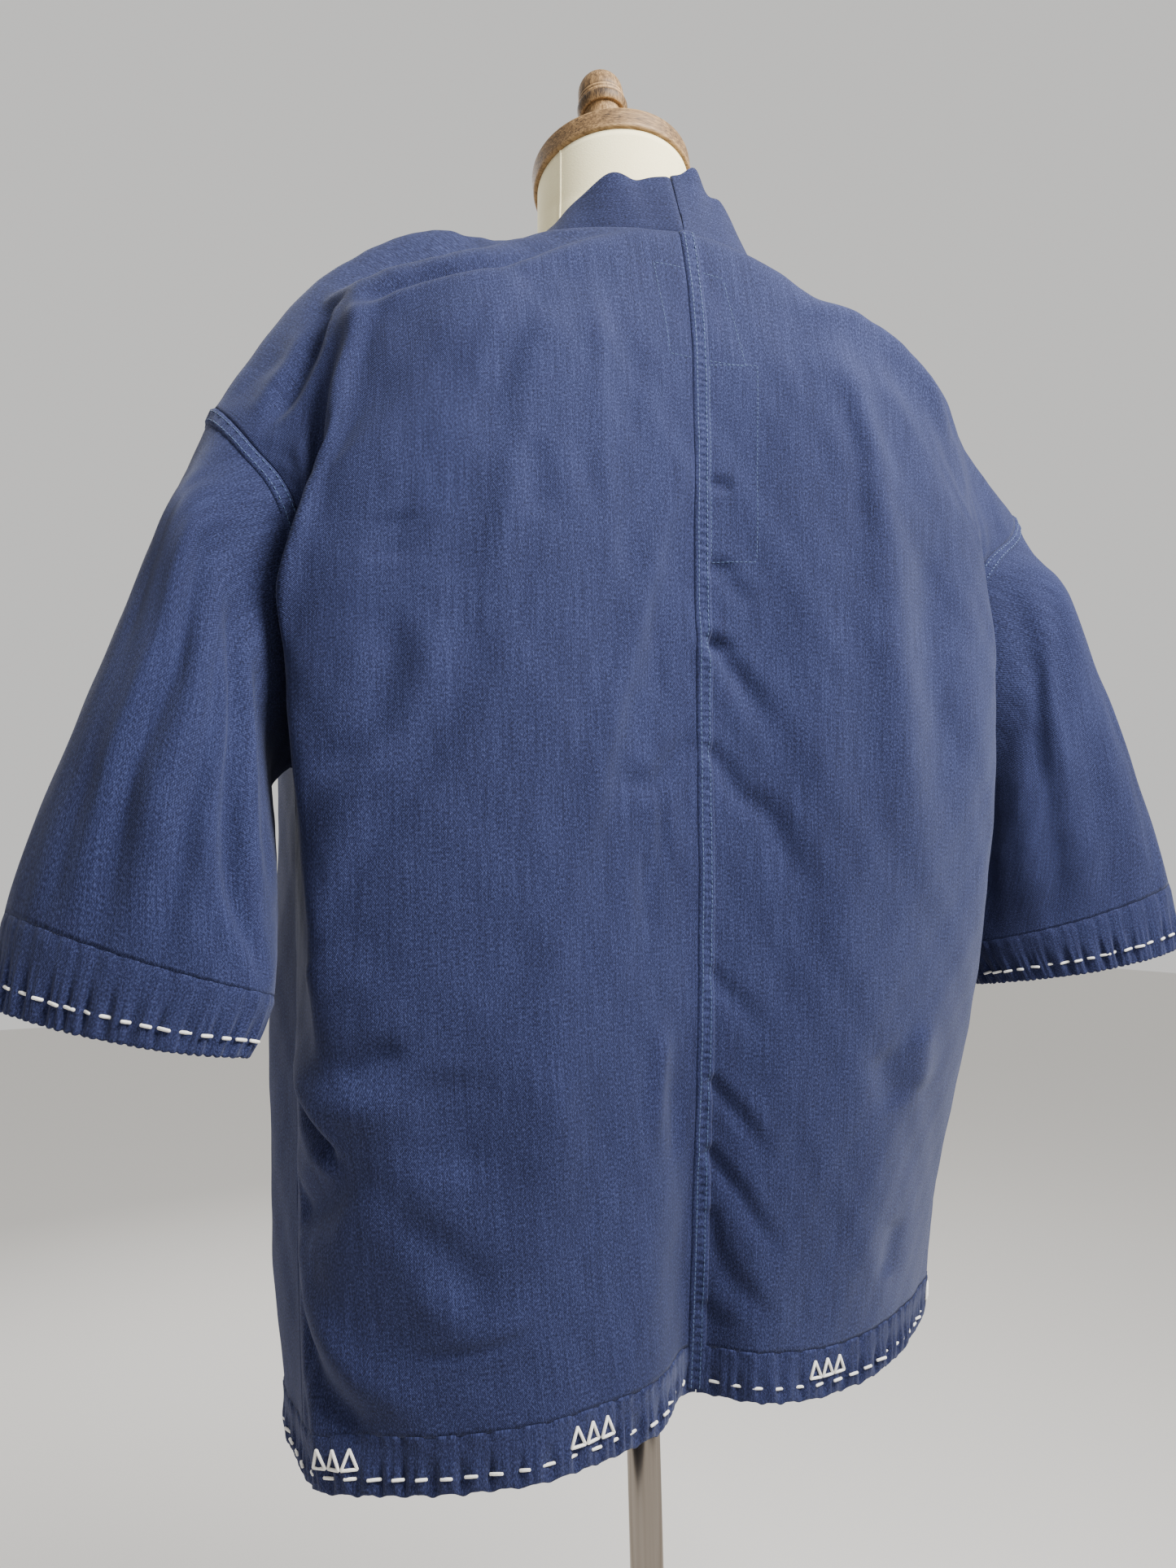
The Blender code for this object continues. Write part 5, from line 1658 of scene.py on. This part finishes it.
# %% Lay the armhole laps
ARM_LAP = 0.0105
ARM_LAP_ROWS = 10
ARM_STITCH_ROWS = (2, 7)
ARM_PUCKER = 0.00045
ARM_PUCKER_PITCH = 0.0058
ARM_PUCKER_PACE = 60.0

bm = bmesh.new()
arm_laps = {}
for side, word in SIDES:
    metres = np.linspace(0.0, ARM_LAP, ARM_LAP_ROWS)
    points, normals = draped_sleeve(metres, side)
    from_edge = np.minimum(metres, ARM_LAP - metres)
    reach = reach_along(points)[0]
    drift = np.sin(reach * ARM_PUCKER_PACE)
    puckers = ARM_PUCKER * np.sin(2 * math.pi * reach / ARM_PUCKER_PITCH + drift)
    inside = np.clip(from_edge / LAP_EDGE, 0.0, 1.0)
    height = lap_rise(from_edge)[:, None] + puckers[None] * inside[:, None]
    lap_points = points + normals * height[..., None]
    cut = np.stack(np.meshgrid(reach, metres, indexing="xy"), axis=-1)
    grid, facing, flat = folded_section(lap_points, normals, CLOTH, cut, 1)
    name = "armhole_lap_" + word
    lap = cut_and_hang(name, grid, flat, facing, lap_cloth, close_rows=True, close_columns=True)
    arm_laps[word] = lap
    for row in ARM_STITCH_ROWS:
        stitch_line(bm, points[row] + normals[row] * LAP_PROUD, normals[row], *TOPSTITCH)
arm_stitches = finish_piece("armhole_topstitch", bm, BLUE_THREAD)
print("armhole laps", [triangles_of(lap) for lap in arm_laps.values()], triangles_of(arm_stitches))

# %% [markdown]
# Two small four-sided outlines are sewn near the top of the centre back, in blue thread. They hardly
# stand out from the cloth, so their stitches are the finest of all and lie nearly in it.

# %% Sew the outlines on the upper back
# Corners of the stitched outlines: share across the panel, negative on the wearer's right, and run
OUTLINES = (
    ((0.076, 0.711), (0.065, 0.654), (-0.094, 0.652), (-0.059, 0.708)),
    ((-0.018, 0.650), (-0.118, 0.654), (-0.106, 0.516), (-0.018, 0.514)),
)
OUTLINE_STEPS = 25
# Pitch, length, radius and lift of its stitches in metres
OUTLINE_STITCH = (0.0030, 0.0022, 0.00020, 0.00002)


def on_panel(across, run):
    """Find a point on a body panel's outer face."""
    side = 1 if across >= 0 else -1
    points, normals = draped_panel([run], np.linspace(0.0, 1.0, BODY_COLUMNS), side)
    place = abs(across) * (BODY_COLUMNS - 1)
    low = int(min(place, BODY_COLUMNS - 2))
    share = place - low
    return (
        points[0, low] * (1.0 - share) + points[0, low + 1] * share,
        unit(normals[0, low] * (1.0 - share) + normals[0, low + 1] * share),
    )


bm = bmesh.new()
edges = [pair for corners in OUTLINES for pair in zip(corners, corners[1:] + corners[:1])]
for start, end in edges:
    steps = [np.array(start) * (1.0 - t) + np.array(end) * t for t in np.linspace(0.0, 1.0, OUTLINE_STEPS)]
    line, facing = (np.array(found) for found in zip(*(on_panel(across, run) for across, run in steps)))
    stitch_line(bm, line, facing, *OUTLINE_STITCH)
outline = finish_piece("upper_back_outline_stitch", bm, BLUE_THREAD)
print(outline.name, triangles_of(outline))

# %% [markdown]
# ## Neck cap and finial
# The wooden cap and its finial are turned on a lathe, so each is a profile spun round its axis. The
# axis leans forward with the cut of the neck. The wood is brown and weathered, with fine grain and
# dark pores along it, and lighter where its edges are rubbed. The finial's grooves and swelling are
# painted darker, as shade.

# %% List the profiles
CAP_PROFILE = (
    (0.0, 0.0275), (0.0210, 0.0275), (0.0262, 0.0268), (0.0310, 0.0256), (0.0360, 0.0240),
    (0.0420, 0.0220), (0.0480, 0.0200), (0.0530, 0.0184), (0.0566, 0.0174), (0.0588, 0.0165),
    (0.0597, 0.0157), (0.0600, 0.0146), (0.0600, 0.0110), (0.0598, 0.0060), (0.0600, 0.0030),
    (0.0598, 0.0012), (0.0588, 0.0003), (0.0570, 0.0), (0.0, 0.0),
)
FINIAL_PROFILE = (
    (0.0, 0.0930), (0.0032, 0.0928), (0.0061, 0.0921), (0.0082, 0.0912), (0.0100, 0.0900),
    (0.0118, 0.0886), (0.0133, 0.0870), (0.0146, 0.0853), (0.0156, 0.0835), (0.0164, 0.0817),
    (0.0169, 0.0800), (0.0173, 0.0780), (0.0175, 0.0760), (0.0176, 0.0742), (0.0175, 0.0724),
    (0.0172, 0.0713), (0.0170, 0.0708), (0.0173, 0.0703), (0.0179, 0.0698), (0.0181, 0.0692),
    (0.0180, 0.0684), (0.0176, 0.0678), (0.0175, 0.0674), (0.0178, 0.0670), (0.0182, 0.0666),
    (0.0183, 0.0660), (0.0181, 0.0653), (0.0179, 0.0648), (0.0184, 0.0642), (0.0190, 0.0634),
    (0.0195, 0.0624), (0.0196, 0.0614), (0.0193, 0.0598), (0.0186, 0.0581), (0.0178, 0.0568),
    (0.0170, 0.0559), (0.0162, 0.0558), (0.0152, 0.0562), (0.0145, 0.0566), (0.0141, 0.0560),
    (0.0140, 0.0545), (0.0142, 0.0520), (0.0149, 0.0460), (0.0157, 0.0370), (0.0165, 0.0280),
    (0.0171, 0.0230), (0.0178, 0.0190), (0.0196, 0.0170), (0.0207, 0.0164), (0.0210, 0.0156),
    (0.0210, 0.0113), (0.0, 0.0113),
)
# Bands of tone round the turned wood: height, half width, and how much lighter. The cap's bands are
# its rubbed edges. On the finial the lighter bands lie on the beads, the lip and the stem, and the
# darker ones are painted shade in the grooves beside the beads and round the swelling's widest part
CAP_WORN = ((0.0006, 0.0011, 1.3), (0.0160, 0.0010, 0.5))
FINIAL_PALE_BANDS_AND_SHADE = (
    (0.0692, 0.0009, 1.2), (0.0660, 0.0009, 1.0), (0.0612, 0.0026, -0.7), (0.0558, 0.0008, 1.2),
    (0.0480, 0.0060, 0.8), (0.0708, 0.0007, -0.8), (0.0674, 0.0006, -0.8),
)
POLE_RADIUS = 0.0115
POLE_TOP = TORSO_SECTIONS[0][0] - FIT_GAP
BASE_PROFILE = (
    (0.0, 0.0300), (0.0200, 0.0300), (0.0236, 0.0299), (0.0268, 0.0294), (0.0290, 0.0286),
    (0.0306, 0.0268), (0.0320, 0.0244), (0.0340, 0.0220), (0.0374, 0.0198), (0.0420, 0.0184),
    (0.0500, 0.0172), (0.0700, 0.0156), (0.0900, 0.0142), (0.1150, 0.0128), (0.1380, 0.0112),
    (0.1440, 0.0104), (0.1476, 0.0094), (0.1494, 0.0080), (0.1500, 0.0064), (0.1500, 0.0016),
    (0.1494, 0.0004), (0.1484, 0.0), (0.0, 0.0),
)
POLE_BOTTOM = BASE_PROFILE[0][1] + FIT_GAP
print("profiles of", len(CAP_PROFILE), len(FINIAL_PROFILE), len(BASE_PROFILE), "points")

# %% [markdown]
# Old turned wood shows short dark pores along its grain, and its edges are rubbed lighter. An image
# would have to be unwrapped round each shape, so stretched noise on the object makes the grain
# instead. A value that each point of the mesh carries makes the lighter bands and the darker bands,
# and on the finial the darker bands are painted shade in its grooves and round its swelling.

# %% Make the wood and the metal
WOOD_DARK = (0.030, 0.016, 0.007, 1.0)
WOOD_MIDDLE = (0.158, 0.090, 0.036, 1.0)
WOOD_LIGHT = (0.370, 0.228, 0.102, 1.0)
# How much finer the pores are than the grain
PORE_FINENESS = 2.4


def turned_wood(name, grain_stretch):
    """Make weathered brown wood: fine grain, dark pores, and lighter bands and bands of painted shade from
    each point's value.
    """
    material = plain_material(name, (0.30, 0.19, 0.10, 1.0), 0.58)
    tree = material.node_tree
    shader = tree.nodes["Principled BSDF"]
    shader.inputs["Specular IOR Level"].default_value = 0.35
    place = object_places(tree)
    grain = stretched_noise(tree, place, grain_stretch, 4.0, 0.65)
    pores = stretched_noise(tree, place, tuple(PORE_FINENESS * s for s in grain_stretch), 2.0)
    weathered = stretched_noise(tree, place, (30.0, 30.0, 46.0), 3.0)
    # Each point's value lightens the rubbed bands and darkens the finial's grooves and swelling as painted
    # shade
    wear_and_shade = tree.nodes.new("ShaderNodeAttribute")
    wear_and_shade.attribute_name = "wear_and_shade"
    tone = sum_of(tree, [(grain, 0.46), (pores, 0.34), (weathered, 0.20), (wear_and_shade.outputs["Fac"], 0.11)])
    colour_by(tree, tone, ((0.36, WOOD_DARK), (0.50, WOOD_MIDDLE), (0.66, WOOD_LIGHT)))
    raise_by(tree, pores, 0.5, 0.0004)
    return material


def toned_metal(name):
    """Make polished bronze-toned metal with faint lengthwise streaks."""
    material = plain_material(name, (0.42, 0.36, 0.30, 1.0), 0.22, 1.0)
    tree = material.node_tree
    streaks = stretched_noise(tree, object_places(tree), (500.0, 500.0, 6.0), 2.0)
    colour_by(tree, streaks, ((0.0, (0.34, 0.28, 0.225, 1.0)), (1.0, (0.50, 0.44, 0.375, 1.0))))
    return material


cap_wood = turned_wood("cap_wood", (60.0, 420.0, 620.0))
finial_wood = turned_wood("finial_wood", (520.0, 520.0, 90.0))
metal = toned_metal("bronze_toned_metal")
print("materials", cap_wood.name, finial_wood.name, metal.name)

# %% [markdown]
# Spinning a profile all the way round gives a closed lathe shape. The points on the axis would come
# out many times over, so they are merged, and the normals are worked out again after that.

# %% Turn the cap, the finial, the pole and the base
def turn_profile(name, profile, steps, matrix, material, wear_and_shade=()):
    """Spin a profile of radius and height round its axis into a closed piece, with bands of tone, the
    darker ones painted shade.
    """
    bm = bmesh.new()
    verts = [bm.verts.new((radius, 0.0, height)) for radius, height in profile]
    edges = [bm.edges.new(pair) for pair in zip(verts, verts[1:])]
    bmesh.ops.spin(
        bm, geom=verts + edges, cent=(0, 0, 0), axis=(0, 0, 1), dvec=(0, 0, 0), angle=2 * math.pi,
        steps=steps, use_merge=True, use_duplicate=False,
    )
    bmesh.ops.remove_doubles(bm, verts=bm.verts, dist=SAME_PLACE)
    bmesh.ops.recalc_face_normals(bm, faces=bm.faces)
    # Each point carries the tone of its bands: lighter ones, and darker ones that are painted shade
    wear_and_shade_layer = bm.verts.layers.float.new("wear_and_shade")
    for vert in bm.verts:
        vert[wear_and_shade_layer] = sum(much * hump(vert.co.z, place, reach) for place, reach, much in wear_and_shade)
    bmesh.ops.transform(bm, matrix=matrix, verts=bm.verts)
    return finish_piece(name, bm, material)


cap_foot = Vector(np.array((0.0, 0.0, CAP_CENTRE)) - CAP_AXIS * CAP_THICKNESS)
cap_matrix = Matrix.Translation(cap_foot) @ Matrix.Rotation(CAP_TILT, 4, "X")
finial_matrix = cap_matrix @ Matrix.Translation((0.0, 0.0, CAP_THICKNESS))
cap = turn_profile("cap_turned", CAP_PROFILE, 96, cap_matrix, cap_wood, CAP_WORN)
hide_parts("neck_cap")
finial = turn_profile(
    "finial_turned", FINIAL_PROFILE, 72, finial_matrix, finial_wood, FINIAL_PALE_BANDS_AND_SHADE
)
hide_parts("neck_finial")
pole_profile = ((0.0, POLE_TOP), (POLE_RADIUS, POLE_TOP), (POLE_RADIUS, POLE_BOTTOM), (0.0, POLE_BOTTOM))
pole = turn_profile("pole_turned", pole_profile, 72, Matrix.Identity(4), metal)
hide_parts("stand_pole")
base = turn_profile("base_turned", BASE_PROFILE, 128, Matrix.Identity(4), metal)
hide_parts("stand_base")
print("turned pieces", [triangles_of(p) for p in (cap, finial, pole, base)])

# %% [markdown]
# ## The cut of the cloth
# Each sleeve's cut is listed, with its width all round, and only read below. The panels are one loom
# width wide, as far as the photograph lets it be measured, and less where the neck is cut out of the
# front. A sleeve is cut to the length of its armhole and tapers to its cuff, so its area is less than
# the rectangle round it. The bands are as long as their puckered edge.

SLEEVE_CUT = {"left": (0.515, 0.285), "right": (0.522, 0.285)}

for side, word in SIDES:
    width, length = SLEEVE_CUT[word]

# %% [markdown]
# ## Finish
# Cloth may stand a little proud of its solid, and hard pieces may not. The view layer is brought up
# to date at the end.

# %% Finish
bpy.context.view_layer.update()
